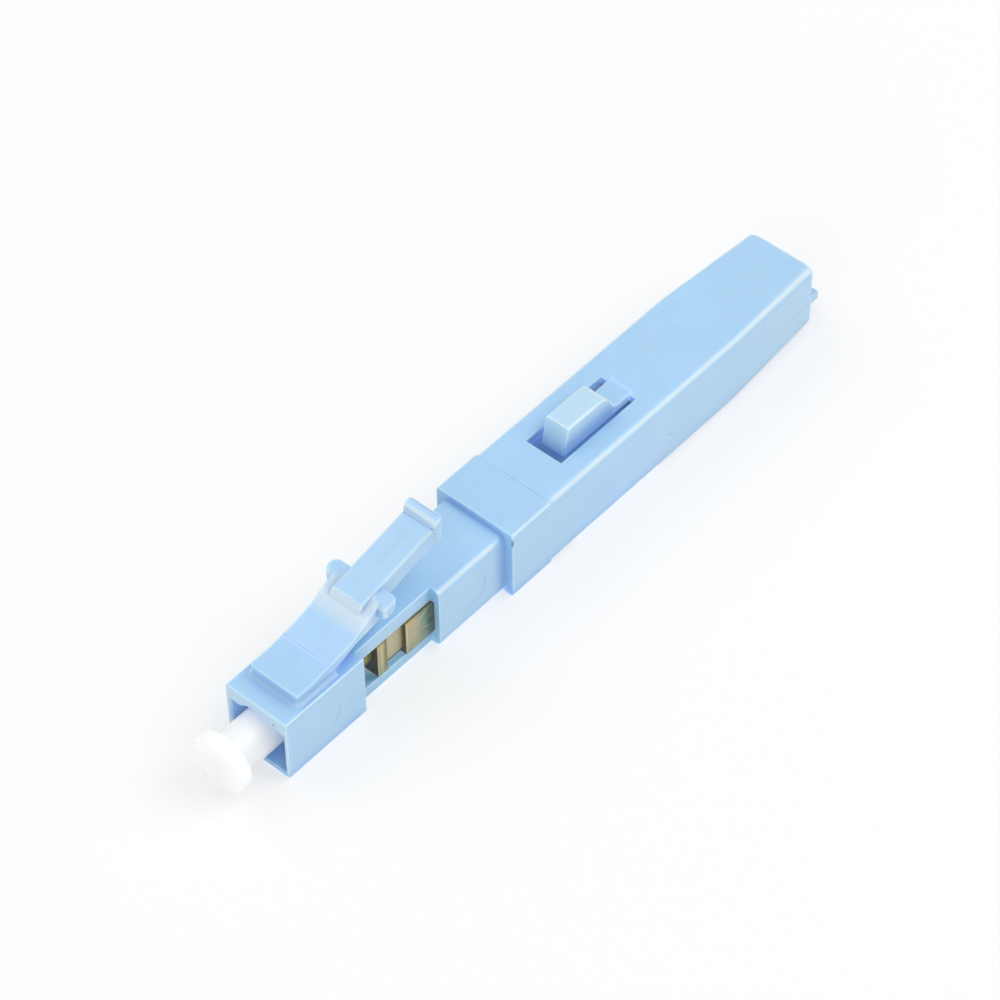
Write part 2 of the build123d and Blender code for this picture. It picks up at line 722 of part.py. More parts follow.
# Tail sleeve: a long shell, straight then tapered, with a cable mouth and a slotted roof
with BuildPart() as tail_sleeve:
    with BuildSketch(Plane.YZ.offset(sleeve_front)):
        with Locations((0, outer_mid)):
            RectangleRounded(sleeve_width, outer_height, sleeve_edge)
    extrude(amount=taper_start - sleeve_front)
    with BuildSketch(Plane.YZ.offset(taper_start)):
        with Locations((0, outer_mid)):
            RectangleRounded(sleeve_width, outer_height, sleeve_edge)
    for step in range(end_round_steps + 1):
        turn = radians(90 * step / end_round_steps)
        inset = sleeve_end_round * (1 - cos(turn))
        station = sleeve_end - sleeve_end_round * (1 - sin(turn))
        with BuildSketch(Plane.YZ.offset(station)):
            with Locations((0, sleeve_rear_mid)):
                RectangleRounded(
                    sleeve_rear_width - 2 * inset,
                    sleeve_rear_height - 2 * inset,
                    sleeve_rear_edge,
                )
    loft(ruled=True)

    # Hollow inside, following the straight and tapered lengths
    with BuildSketch(Plane.YZ.offset(sleeve_front)):
        with Locations((0, outer_mid)):
            RectangleRounded(sleeve_width - 2 * sleeve_wall, outer_height - 2 * sleeve_wall, sleeve_corner)
    extrude(amount=taper_start - sleeve_front, mode=Mode.SUBTRACT)
    with BuildSketch(Plane.YZ.offset(taper_start)):
        with Locations((0, outer_mid)):
            RectangleRounded(sleeve_width - 2 * sleeve_wall, outer_height - 2 * sleeve_wall, sleeve_corner)
    with BuildSketch(Plane.YZ.offset(sleeve_inner_end)):
        with Locations((0, sleeve_rear_mid)):
            RectangleRounded(
                sleeve_rear_width - 2 * sleeve_rear_wall,
                sleeve_rear_height - 2 * sleeve_rear_wall,
                sleeve_corner,
            )
    loft(ruled=True, mode=Mode.SUBTRACT)
    with BuildSketch(Plane.YZ.offset(sleeve_inner_end)):
        with Locations((0, (mouth_roof + mouth_floor) / 2)):
            Rectangle(mouth_width, mouth_roof - mouth_floor)
    extrude(amount=sleeve_end_wall, mode=Mode.SUBTRACT)

    # Roof slot around the button and the round seat of its root
    with BuildSketch(Plane.XY.offset(top_level)):
        with Locations(((slot_front + slot_rear) / 2, 0)):
            Rectangle(slot_rear - slot_front, slot_width)
    extrude(amount=-2 * sleeve_wall, mode=Mode.SUBTRACT)
    with Locations(Location((slot_rear, 0, button_root_z), (90, 0, 0))):
        Cylinder(button_root_radius + hinge_clearance, button_width + 0.04, mode=Mode.SUBTRACT)

# Sleeve button: a springy tongue with a thumb bump and a round root
with BuildPart() as sleeve_button:
    with BuildSketch(Plane.XZ):
        with Locations((slot_rear, button_root_z)):
            Circle(button_root_radius)
            Rectangle(2 * button_root_radius, sleeve_wall, mode=Mode.INTERSECT)
        with BuildLine():
            Line((slot_rear, button_bottom), (button_front, button_bottom))
            Line((button_front, button_bottom), (button_top_front, top_level + button_rise))
            Line((button_top_front, top_level + button_rise), (button_top_rear, top_level + button_rise))
            ramp = Spline(
                (button_top_rear, top_level + button_rise),
                (button_top_rear + 0.8, top_level + 0.75 * button_rise),
                (button_ramp_end, top_level),
                tangents=[(1, -0.2), (1, -0.35)],
            )
            Line(ramp @ 1, (slot_rear, top_level))
            Line((slot_rear, top_level), (slot_rear, button_bottom))
        make_face()
    extrude(amount=button_width / 2, both=True)
    button_face = sleeve_button.faces().filter_by(Plane.XY).sort_by(Axis.Z)[-1]
    fillet(button_face.edges().filter_by(Axis.X), radius=button_round)

# Dust cap: flat round head, hollow stem over the ferrule
with BuildPart() as dust_cap:
    with BuildSketch(Plane.XZ):
        with BuildLine():
            Polyline(
                (-cap_front, 0),
                (-cap_front, cap_head_diameter / 2),
                (cap_head_rear, cap_head_diameter / 2),
                (cap_head_rear, cap_stem_diameter / 2),
                (cap_stem_rear, cap_stem_diameter / 2),
                (cap_stem_rear, ferrule_radius + cap_bore_clearance),
                (-ferrule_reach - 0.4, ferrule_radius + cap_bore_clearance),
                (-ferrule_reach - 0.4, 0),
                close=True,
            )
        make_face()
    revolve(axis=Axis.X)
    head_rims = dust_cap.edges().filter_by(GeomType.CIRCLE).filter_by(
        lambda e: abs(e.radius - cap_head_diameter / 2) < 0.001)
    fillet(head_rims.sort_by(Axis.X)[0], radius=cap_round)
    rear_rim = dust_cap.edges().filter_by(GeomType.CIRCLE).filter_by_position(
        Axis.X, cap_head_rear - 0.01, cap_head_rear + 0.01).sort_by(SortBy.RADIUS)[-1]
    chamfer(rear_rim, length=cap_rear_bevel)

os.makedirs("parts", exist_ok=True)
plug_housing.part.label = "plug_housing"
export_step(plug_housing.part, "parts/plug_housing.step")
latch_arm.part.label = "latch_arm"
export_step(latch_arm.part, "parts/latch_arm.step")
ferrule.part.label = "ferrule"
export_step(ferrule.part, "parts/ferrule.step")
ferrule_flange.part.label = "ferrule_flange"
export_step(ferrule_flange.part, "parts/ferrule_flange.step")
fibre_stub.part.label = "fibre_stub"
export_step(fibre_stub.part, "parts/fibre_stub.step")
splice_holder.part.label = "splice_holder"
export_step(splice_holder.part, "parts/splice_holder.step")
splice_base.part.label = "splice_base"
export_step(splice_base.part, "parts/splice_base.step")
splice_cover_front.part.label = "splice_cover_front"
export_step(splice_cover_front.part, "parts/splice_cover_front.step")
splice_cover_rear.part.label = "splice_cover_rear"
export_step(splice_cover_rear.part, "parts/splice_cover_rear.step")
splice_clip_front.part.label = "splice_clip_front"
export_step(splice_clip_front.part, "parts/splice_clip_front.step")
splice_clip_rear.part.label = "splice_clip_rear"
export_step(splice_clip_rear.part, "parts/splice_clip_rear.step")
ferrule_spring.part.label = "ferrule_spring"
export_step(ferrule_spring.part, "parts/ferrule_spring.step")
fibre_guide.part.label = "fibre_guide"
export_step(fibre_guide.part, "parts/fibre_guide.step")
inner_body.part.label = "inner_body"
export_step(inner_body.part, "parts/inner_body.step")
coat_clamp.part.label = "coat_clamp"
export_step(coat_clamp.part, "parts/coat_clamp.step")
cable_lid.part.label = "cable_lid"
export_step(cable_lid.part, "parts/cable_lid.step")
lid_pin.part.label = "lid_pin"
export_step(lid_pin.part, "parts/lid_pin.step")
tail_sleeve.part.label = "tail_sleeve"
export_step(tail_sleeve.part, "parts/tail_sleeve.step")
sleeve_button.part.label = "sleeve_button"
export_step(sleeve_button.part, "parts/sleeve_button.step")
dust_cap.part.label = "dust_cap"
export_step(dust_cap.part, "parts/dust_cap.step")
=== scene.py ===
"""Dresses a field-fitted LC optical connector: sky-blue mouldings, amber splice, milky dust cap."""
import json
import logging
import math
from dataclasses import dataclass, field
from enum import Enum
from typing import Callable, Iterable, Sequence

import bpy
from mathutils import Matrix, Vector

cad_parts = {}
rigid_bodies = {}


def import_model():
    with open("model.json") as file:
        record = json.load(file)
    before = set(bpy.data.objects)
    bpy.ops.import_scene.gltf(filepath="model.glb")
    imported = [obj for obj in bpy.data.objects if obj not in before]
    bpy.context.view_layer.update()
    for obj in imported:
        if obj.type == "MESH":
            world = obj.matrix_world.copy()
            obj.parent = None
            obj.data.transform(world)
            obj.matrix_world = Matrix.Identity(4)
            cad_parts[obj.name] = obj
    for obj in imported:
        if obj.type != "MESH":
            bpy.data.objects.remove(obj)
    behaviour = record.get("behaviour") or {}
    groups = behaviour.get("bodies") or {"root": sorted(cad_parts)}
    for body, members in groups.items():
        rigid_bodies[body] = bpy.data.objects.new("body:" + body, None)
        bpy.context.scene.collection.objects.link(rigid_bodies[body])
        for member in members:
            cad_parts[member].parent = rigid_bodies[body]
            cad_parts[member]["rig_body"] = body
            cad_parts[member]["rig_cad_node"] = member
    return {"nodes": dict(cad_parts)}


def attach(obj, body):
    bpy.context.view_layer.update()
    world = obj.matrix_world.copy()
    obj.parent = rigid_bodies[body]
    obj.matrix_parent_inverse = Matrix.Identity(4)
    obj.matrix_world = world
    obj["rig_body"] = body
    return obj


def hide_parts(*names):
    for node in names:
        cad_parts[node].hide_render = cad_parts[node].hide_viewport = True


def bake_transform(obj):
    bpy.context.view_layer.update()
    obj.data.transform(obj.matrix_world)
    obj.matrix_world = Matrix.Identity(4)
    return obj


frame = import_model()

MM = 0.001
DOUBLES_REACH = 0.0005 * MM
SEAM_REACH = 0.025 * MM
FLAT_ANGLE = math.radians(0.4)
SHARP_ANGLE = math.radians(32)
CAD_SMOOTH_ANGLE = math.radians(28)
SMOOTH_ANGLE = math.radians(35)
COIL_SMOOTH_ANGLE = math.radians(40)
WIDE_NOISE = (0.3, 0.7)
TIGHT_NOISE = (0.35, 0.65)
NEAR_SIDE = (-0.95, -0.85)
WHITE = (1.0, 1.0, 1.0)
BLACK = (0.0, 0.0, 0.0)
Colour = tuple[float, float, float]
Point = tuple[float, float, float]
Span = tuple[float, float]
log = logging.getLogger("connector")


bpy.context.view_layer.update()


def millimetres(x: float, y: float, z: float) -> Vector:
    """Gives a point in metres from millimetres."""
    return Vector((x, y, z)) * MM


def linear(red: int, green: int, blue: int) -> Colour:
    """Turns a screen colour into a linear one.

    Args:
        red: red from 0 to 255.
        green: green from 0 to 255.
        blue: blue from 0 to 255.

    Returns:
        The linear colour, each channel from 0 to 1.
    """

    def channel(value: int) -> float:
        """Undoes the screen's curve for one channel."""
        share = value / 255
        return share / 12.92 if share <= 0.04045 else ((share + 0.055) / 1.055) ** 2.4

    return channel(red), channel(green), channel(blue)


class Axis(Enum):
    """The pieces' shared axes: along the fibre, across it, and up."""

    ALONG = 0
    ACROSS = 1
    UP = 2


@dataclass(frozen=True)
class Arc:
    """A faint arc on a side face, in millimetres and degrees.

    Its middle is turned up from straight back. The line is full within core and gone at fade,
    both as shares of its width, and its ends fade too.
    """

    centre_x: float
    centre_z: float
    radius: float
    middle: float
    sweep: float
    width: float = 0.09
    strength: float = 0.45
    core: float = 0.25
    fade: float = 0.75
    end_fade: float = 0.25


@dataclass(frozen=True)
class Spot:
    """A tiny nick or speck: its middle and its reach along each axis, in millimetres."""

    centre: Point
    reach: Point
    strength: float = 0.8
    core: float = 0.5


@dataclass(frozen=True)
class Tint:
    """A soft band of another colour along one axis, in millimetres.

    It comes from start to full and goes from last to end.
    """

    axis: Axis
    start: float
    full: float
    last: float
    end: float
    colour: Colour
    strength: float = 0.6


class Graph:
    """A material's node tree, with short calls to add and join nodes."""

    def __init__(self, name: str) -> None:
        """Starts an empty tree with an output and a principled shader.

        Args:
            name: the material's name.
        """
        self.material = bpy.data.materials.new(name)
        self.material.use_nodes = True
        self.tree = self.material.node_tree
        self.tree.nodes.clear()
        self.output = self.add("ShaderNodeOutputMaterial")
        self.shader = self.add("ShaderNodeBsdfPrincipled")
        self.join(self.shader.outputs["BSDF"], self.output.inputs["Surface"])
        self.place = self.add("ShaderNodeTexCoord").outputs["Object"]

    def add(self, kind: str, **settings: object) -> bpy.types.Node:
        """Adds a node and sets its properties.

        Args:
            kind: the node's type name.
            settings: property names and values.

        Returns:
            The new node.
        """
        node = self.tree.nodes.new(kind)
        for name, value in settings.items():
            setattr(node, name, value)
        return node

    def join(self, start: bpy.types.NodeSocket, end: bpy.types.NodeSocket) -> None:
        """Links two sockets."""
        self.tree.links.new(start, end)

    def feed(self, socket: bpy.types.NodeSocket, value: object) -> None:
        """Gives a socket a link or a plain value.

        Args:
            socket: the input to fill.
            value: another node's output, a number or a colour.
        """
        if isinstance(value, bpy.types.NodeSocket):
            self.join(value, socket)
        elif isinstance(value, tuple) and len(value) == 3 and socket.type == "RGBA":
            socket.default_value = (*value, 1.0)
        else:
            socket.default_value = value

    def noise(self, scale: float, detail: float = 2.0, rough: float = 0.5,
              where: bpy.types.NodeSocket | None = None) -> bpy.types.NodeSocket:
        """Adds a noise pattern.

        Args:
            scale: cells per metre.
            detail: layers of finer noise.
            rough: strength of the finer layers.
            where: coordinates, the object's own if left out.

        Returns:
            The noise value's socket.
        """
        node = self.add("ShaderNodeTexNoise")
        self.feed(node.inputs["Vector"], where or self.place)
        self.feed(node.inputs["Scale"], scale)
        self.feed(node.inputs["Detail"], detail)
        self.feed(node.inputs["Roughness"], rough)
        return node.outputs["Fac"]

    def stretch(self, scale: Point) -> bpy.types.NodeSocket:
        """Gives the object's coordinates, stretched.

        Args:
            scale: factor along each axis.

        Returns:
            The changed coordinates' socket.
        """
        node = self.add("ShaderNodeMapping")
        self.join(self.place, node.inputs["Vector"])
        node.inputs["Scale"].default_value = scale
        return node.outputs["Vector"]

    def remap(self, value: bpy.types.NodeSocket, low: float, high: float, to_low: float,
              to_high: float) -> bpy.types.NodeSocket:
        """Maps a range of values onto another, held at its ends.

        Args:
            value: the number to map.
            low: the lowest value read.
            high: the highest value read.
            to_low: what the lowest becomes.
            to_high: what the highest becomes.

        Returns:
            The mapped value's socket.
        """
        node = self.add("ShaderNodeMapRange", clamp=True)
        self.join(value, node.inputs["Value"])
        for name, number in (("From Min", low), ("From Max", high), ("To Min", to_low), ("To Max", to_high)):
            node.inputs[name].default_value = number
        return node.outputs["Result"]

    def remap_lengths(self, value: bpy.types.NodeSocket, span: Span, to_low: float,
                      to_high: float) -> bpy.types.NodeSocket:
        """Maps a span of millimetres onto a range, held at its ends."""
        return self.remap(value, span[0] * MM, span[1] * MM, to_low, to_high)

    def blend(self, share: object, first: object, second: object) -> bpy.types.NodeSocket:
        """Mixes two colours.

        Args:
            share: how much of the second, a number or a socket.
            first: the colour at none.
            second: the colour at all.

        Returns:
            The mixed colour's socket.
        """
        node = self.add("ShaderNodeMix", data_type="RGBA")
        self.feed(node.inputs[0], share)
        self.feed(node.inputs[6], first)
        self.feed(node.inputs[7], second)
        return node.outputs[2]

    def sums(self, rule: str, first: object, second: object = 0.0) -> bpy.types.NodeSocket:
        """Adds a sum on two numbers.

        Args:
            rule: the operation's name.
            first: the first number or socket.
            second: the second number or socket.

        Returns:
            The result's socket.
        """
        node = self.add("ShaderNodeMath", operation=rule, use_clamp=True)
        self.feed(node.inputs[0], first)
        self.feed(node.inputs[1], second)
        return node.outputs[0]

    def exact(self, rule: str, first: object, second: object = 0.0) -> bpy.types.NodeSocket:
        """Adds a sum on two numbers whose result may lie outside 0 to 1."""
        result = self.sums(rule, first, second)
        result.node.use_clamp = False
        return result

    def split(self, vector: bpy.types.NodeSocket) -> Sequence[bpy.types.NodeSocket]:
        """Gives the three parts of a vector."""
        node = self.add("ShaderNodeSeparateXYZ")
        self.join(vector, node.inputs["Vector"])
        return node.outputs

    def arc(self, mark: Arc) -> bpy.types.NodeSocket:
        """Draws a thin arc on a face that looks sideways.

        Args:
            mark: the arc.

        Returns:
            A socket that is 1 on the arc and 0 away from it.
        """
        along, _, height = self.split(self.place)
        right = self.exact("SUBTRACT", along, mark.centre_x * MM)
        up = self.exact("SUBTRACT", height, mark.centre_z * MM)
        square = self.exact("ADD", self.exact("MULTIPLY", right, right), self.exact("MULTIPLY", up, up))
        reach = self.exact("SQRT", square)
        off = self.exact("ABSOLUTE", self.exact("SUBTRACT", reach, mark.radius * MM))
        line = self.remap(off, mark.width * mark.core * MM, mark.width * mark.fade * MM, 1.0, 0.0)
        middle = math.radians(mark.middle)
        facing = self.exact("ADD", self.exact("MULTIPLY", right, math.cos(middle)),
                            self.exact("MULTIPLY", up, math.sin(middle)))
        limit = math.cos(math.radians(mark.sweep / 2))
        part = self.remap(self.exact("DIVIDE", facing, reach), limit, limit + mark.end_fade, 0.0, 1.0)
        side = self.remap(self.local_normal()[Axis.ACROSS.value], *NEAR_SIDE, 1.0, 0.0)
        return self.exact("MULTIPLY", self.exact("MULTIPLY", line, part), side)

    def spot(self, mark: Spot) -> bpy.types.NodeSocket:
        """Gives 1 at a small mark's middle and 0 away from it."""
        near = 1.0
        for part, middle, reach in zip(self.split(self.place), mark.centre, mark.reach):
            off = self.exact("ABSOLUTE", self.exact("SUBTRACT", part, middle * MM))
            near = self.sums("MULTIPLY", self.remap(off, reach * mark.core * MM, reach * MM, 1.0, 0.0), near)
        return near

    def band(self, tint: Tint) -> bpy.types.NodeSocket:
        """Gives a band's strength along its axis."""
        along = self.split(self.place)[tint.axis.value]
        return self.sums("MULTIPLY", self.remap(along, tint.start * MM, tint.full * MM, 0.0, tint.strength),
                         self.remap(along, tint.last * MM, tint.end * MM, 1.0, 0.0))

    def local_normal(self) -> Sequence[bpy.types.NodeSocket]:
        """Gives the three parts of the surface's direction in the piece's own frame."""
        return self.split(self.add("ShaderNodeTexCoord").outputs["Normal"])

    def ramp(self, value: bpy.types.NodeSocket,
             stops: Sequence[tuple[float, Colour]]) -> bpy.types.NodeSocket:
        """Adds a colour ramp over millimetres.

        Args:
            value: a length in metres.
            stops: pairs of a length in millimetres and its colour, lowest first.

        Returns:
            The colour's socket.
        """
        low, high = stops[0][0], stops[-1][0]
        node = self.add("ShaderNodeValToRGB")
        self.join(self.remap_lengths(value, (low, high), 0.0, 1.0), node.inputs["Fac"])
        marks = node.color_ramp.elements
        while len(marks) < len(stops):
            marks.new(1.0)
        for mark, (length, colour) in zip(marks, stops):
            mark.position = (length - low) / (high - low)
            mark.color = (*colour, 1.0)
        return node.outputs["Color"]

    def openness(self, reach: float, samples: int = 8) -> bpy.types.NodeSocket:
        """Tells how open a point is, from 0 where walls close it in to 1.

        Args:
            reach: how far walls are looked for, in metres.
            samples: rays a look.

        Returns:
            The openness's socket.
        """
        node = self.add("ShaderNodeAmbientOcclusion", samples=samples)
        self.feed(node.inputs["Distance"], reach)
        return node.outputs["AO"]

    def corner_share(self, reach: float, span: Span = (0.35, 0.95)) -> bpy.types.NodeSocket:
        """Tells how closed in a point is.

        Args:
            reach: how far walls are looked for, in metres.
            span: the openness that counts as deep in a corner, and the one that counts as free.

        Returns:
            A socket that is 0 in the open and 1 deep in a corner.
        """
        return self.remap(self.openness(reach), *span, 1.0, 0.0)

    def edge_share(self, width: float) -> tuple[bpy.types.NodeSocket, bpy.types.NodeSocket]:
        """Finds sharp edges by comparing a rounded normal with the true one.

        Args:
            width: the rounding's radius in metres.

        Returns:
            A socket that is 1 along edges, and the rounded normal.
        """
        rounding = self.add("ShaderNodeBevel", samples=4)
        self.feed(rounding.inputs["Radius"], width)
        true = self.add("ShaderNodeNewGeometry").outputs["Normal"]
        dot = self.add("ShaderNodeVectorMath", operation="DOT_PRODUCT")
        self.join(rounding.outputs["Normal"], dot.inputs[0])
        self.join(true, dot.inputs[1])
        return self.remap(dot.outputs["Value"], 0.8, 0.995, 1.0, 0.0), rounding.outputs["Normal"]

    def relief(self, height: bpy.types.NodeSocket, depth: float, strength: float,
               normal: bpy.types.NodeSocket | None = None) -> bpy.types.NodeSocket:
        """Adds a bump.

        Args:
            height: the relief's height from 0 to 1.
            depth: what height 1 is, in metres.
            strength: how much of it shows.
            normal: the normal to start from, the surface's own if left out.

        Returns:
            The bumped normal's socket.
        """
        node = self.add("ShaderNodeBump")
        self.feed(node.inputs["Height"], height)
        self.feed(node.inputs["Distance"], depth)
        self.feed(node.inputs["Strength"], strength)
        if normal is not None:
            self.join(normal, node.inputs["Normal"])
        return node.outputs["Normal"]

    def shade(self, **inputs: object) -> bpy.types.Material:
        """Fills the shader's inputs, with underscores for spaces in their names.

        Args:
            inputs: input names and their values or sockets.

        Returns:
            The finished material.
        """
        for name, value in inputs.items():
            self.feed(self.shader.inputs[name.replace("_", " ")], value)
        return self.material


@dataclass(frozen=True)
class MouldedPlastic:
    """A satin moulding that light soaks into: fine grain and faint flow clouds, with painted highlights on its
    edges and rounds, a painted sheen where it is seen edge on, painted shade in its corners and grooves, and a
    painted glow in closed places.

    Cells are per metre. Strengths and shares run from 0 to 1. Each span gives the two readings between
    which an effect comes or goes.
    """

    name: str
    colour: Colour
    # corner is the painted shade colour of corners and grooves, and also the colour of the arc marks
    corner: Colour
    # edge is the painted highlight colour of edges, halos and sheen
    edge: Colour
    cloud: float = 0.02
    cloud_cells: float = 620.0
    flow_cells: float = 260.0
    flow_stretch: Point = (0.35, 1.0, 1.0)
    # Painted shade: how strongly and how far corners and grooves are darkened toward the corner colour
    corner_shade_strength: float = 0.7
    corner_reach: float = 1.1 * MM
    corner_span: Span = (0.5, 0.96)
    corner_samples: int = 6
    corner_shade_tint: Tint | None = None
    groove_shade_strength: float = 0.9
    groove_reach: float = 0.3 * MM
    groove_span: Span = (0.4, 0.9)
    # Painted glow: an emission in closed places that stands for light soaking through the walls
    soak: float = 0.5
    soak_colour: Colour = linear(184, 206, 228)
    soak_span: Span = (0.05, 0.5)
    soak_zone: Span = (-20.0, 80.0)
    soak_fade: float = 0.3
    # Painted highlight: a soft pale halo along open edges
    halo_highlight_strength: float = 0.3
    halo_width: float = 0.3 * MM
    # Painted highlight: a pale band on open round edges
    round_highlight_strength: float = 0.75
    round_highlight_colour: Colour = linear(226, 238, 241)
    round_span: Span = (0.8, 0.95)
    round_fall: float = 8.0
    # Painted sheen: paler where the surface is seen edge on, standing for the pale room's reflection
    rim_sheen_strength: float = 0.9
    rim_span: Span = (0.5, 0.95)
    # Painted highlight: thin pale lines along sharp edges, broken up by noise
    edge_highlight_strength: float = 0.7
    edge_width: float = 0.05 * MM
    highlight_break_cells: float = 2400.0
    highlight_break_span: Span = (0.3, 0.6)
    highlight_break_least: float = 0.45
    spot_colour: Colour = linear(40, 96, 118)
    tints: tuple[Tint, ...] = ()
    arcs: tuple[Arc, ...] = ()
    spots: tuple[Spot, ...] = ()
    roughness: float = 0.34
    rough_cells: float = 1500.0
    rough_spread: Span = (-0.04, 0.05)
    grain_cells: float = 8000.0
    grain_depth: float = 0.004 * MM
    grain_share: float = 0.25
    swell_cells: float = 900.0
    swell_depth: float = 0.008 * MM
    swell_share: float = 0.2
    refraction: float = 1.5
    soft_light: float = 0.85
    soft_reach: float = 0.32 * MM
    soft_radii: Colour = (0.45, 0.8, 1.0)

    def build(self) -> bpy.types.Material:
        """Builds the node material.

        Returns:
            The material.
        """
        g = Graph(self.name)
        clouds = g.remap(g.noise(self.cloud_cells, 3, 0.55), *TIGHT_NOISE, 0.0, 1.0)
        flow = g.remap(g.noise(self.flow_cells, 2, 0.5, g.stretch(self.flow_stretch)), *TIGHT_NOISE, 0.0, 1.0)
        light = tuple(min(1.0, c * (1 + self.cloud)) for c in self.colour)
        deep = tuple(c * (1 - self.cloud) for c in self.colour)
        base = g.blend(g.sums("MULTIPLY", clouds, flow), deep, light)
        # Painted shade: corners and grooves are blended toward the corner colour by how closed in they are
        openness = g.openness(self.corner_reach, self.corner_samples)
        corners = g.remap(openness, *self.corner_span, self.corner_shade_strength, 0.0)
        grooves = g.sums("MULTIPLY", g.corner_share(self.groove_reach, self.groove_span), self.groove_shade_strength)
        closed = g.sums("MAXIMUM", corners, grooves)
        for tint in self.tints:
            base = g.blend(g.band(tint), base, tint.colour)
        corner = self.corner
        if self.corner_shade_tint:
            corner = g.blend(g.band(self.corner_shade_tint), corner, self.corner_shade_tint.colour)
        base = g.blend(closed, base, corner)
        # Painted highlight: a soft pale halo along open edges
        halo, _ = g.edge_share(self.halo_width)
        halo = g.sums("MULTIPLY", g.sums("SUBTRACT", halo, closed), self.halo_highlight_strength)
        base = g.blend(halo, base, self.edge)
        # Painted highlight: a pale band on open round edges
        base = g.blend(self.rounds(g, closed), base, self.round_highlight_colour)
        # Painted sheen: paler where the surface is seen edge on, standing for the pale room's reflection
        rim = g.add("ShaderNodeLayerWeight").outputs["Facing"]
        base = g.blend(g.remap(rim, *self.rim_span, 0.0, self.rim_sheen_strength), base, self.edge)
        # Painted highlight: thin pale lines along sharp edges, broken up by noise
        edges, rounded = g.edge_share(self.edge_width)
        highlight_break = g.remap(g.noise(self.highlight_break_cells), *self.highlight_break_span, self.highlight_break_least, 1.0)
        edges = g.sums("MULTIPLY", g.sums("SUBTRACT", edges, closed), highlight_break)
        base = g.blend(g.sums("MULTIPLY", edges, self.edge_highlight_strength), base, self.edge)
        for mark in self.arcs:
            base = g.blend(g.sums("MULTIPLY", g.arc(mark), mark.strength), base, self.corner)
        for mark in self.spots:
            base = g.blend(g.sums("MULTIPLY", g.spot(mark), mark.strength), base, self.spot_colour)
        smooth, dull = (self.roughness + change for change in self.rough_spread)
        swell = g.relief(g.noise(self.swell_cells, 2, 0.5), self.swell_depth, self.swell_share, rounded)
        grain = g.relief(g.noise(self.grain_cells, 3, 0.6), self.grain_depth, self.grain_share, swell)
        return g.shade(
            Base_Color=base,
            Roughness=g.remap(g.noise(self.rough_cells, 3, 0.6), *WIDE_NOISE, smooth, dull),
            Normal=grain,
            IOR=self.refraction,
            Subsurface_Weight=self.soft_light,
            Subsurface_Radius=self.soft_radii,
            Subsurface_Scale=self.soft_reach,
            # Painted glow in closed places
            Emission_Color=self.soak_colour,
            Emission_Strength=self.soaked(g, openness),
        )

    def soaked(self, g: Graph, openness: bpy.types.NodeSocket) -> bpy.types.NodeSocket:
        """Gives the painted glow, an emission that stands for light soaking through the walls of closed
        places.

        Args:
            g: the material's nodes.
            openness: how open the point is.

        Returns:
            The glow's socket.
        """
        near, far = self.soak_zone
        zone = Tint(Axis.ALONG, near, near + self.soak_fade, far - self.soak_fade, far, self.colour, 1.0)
        return g.sums("MULTIPLY", g.remap(openness, *self.soak_span, self.soak, 0.0), g.band(zone))

    def rounds(self, g: Graph, closed: bpy.types.NodeSocket) -> bpy.types.NodeSocket:
        """Finds the open round edges, where the surface looks along none of the three axes.

        Args:
            g: the material's nodes.
            closed: how closed in the point is.

        Returns:
            The socket of the painted highlight on them.
        """
        flat = 0.0
        for part in g.local_normal():
            flat = g.sums("MAXIMUM", flat, g.sums("ABSOLUTE", part))
        bent = g.remap(flat, *self.round_span, 1.0, 0.0)
        open_bent = g.sums("SUBTRACT", bent, g.exact("MULTIPLY", closed, self.round_fall))
        return g.sums("MULTIPLY", open_bent, self.round_highlight_strength)


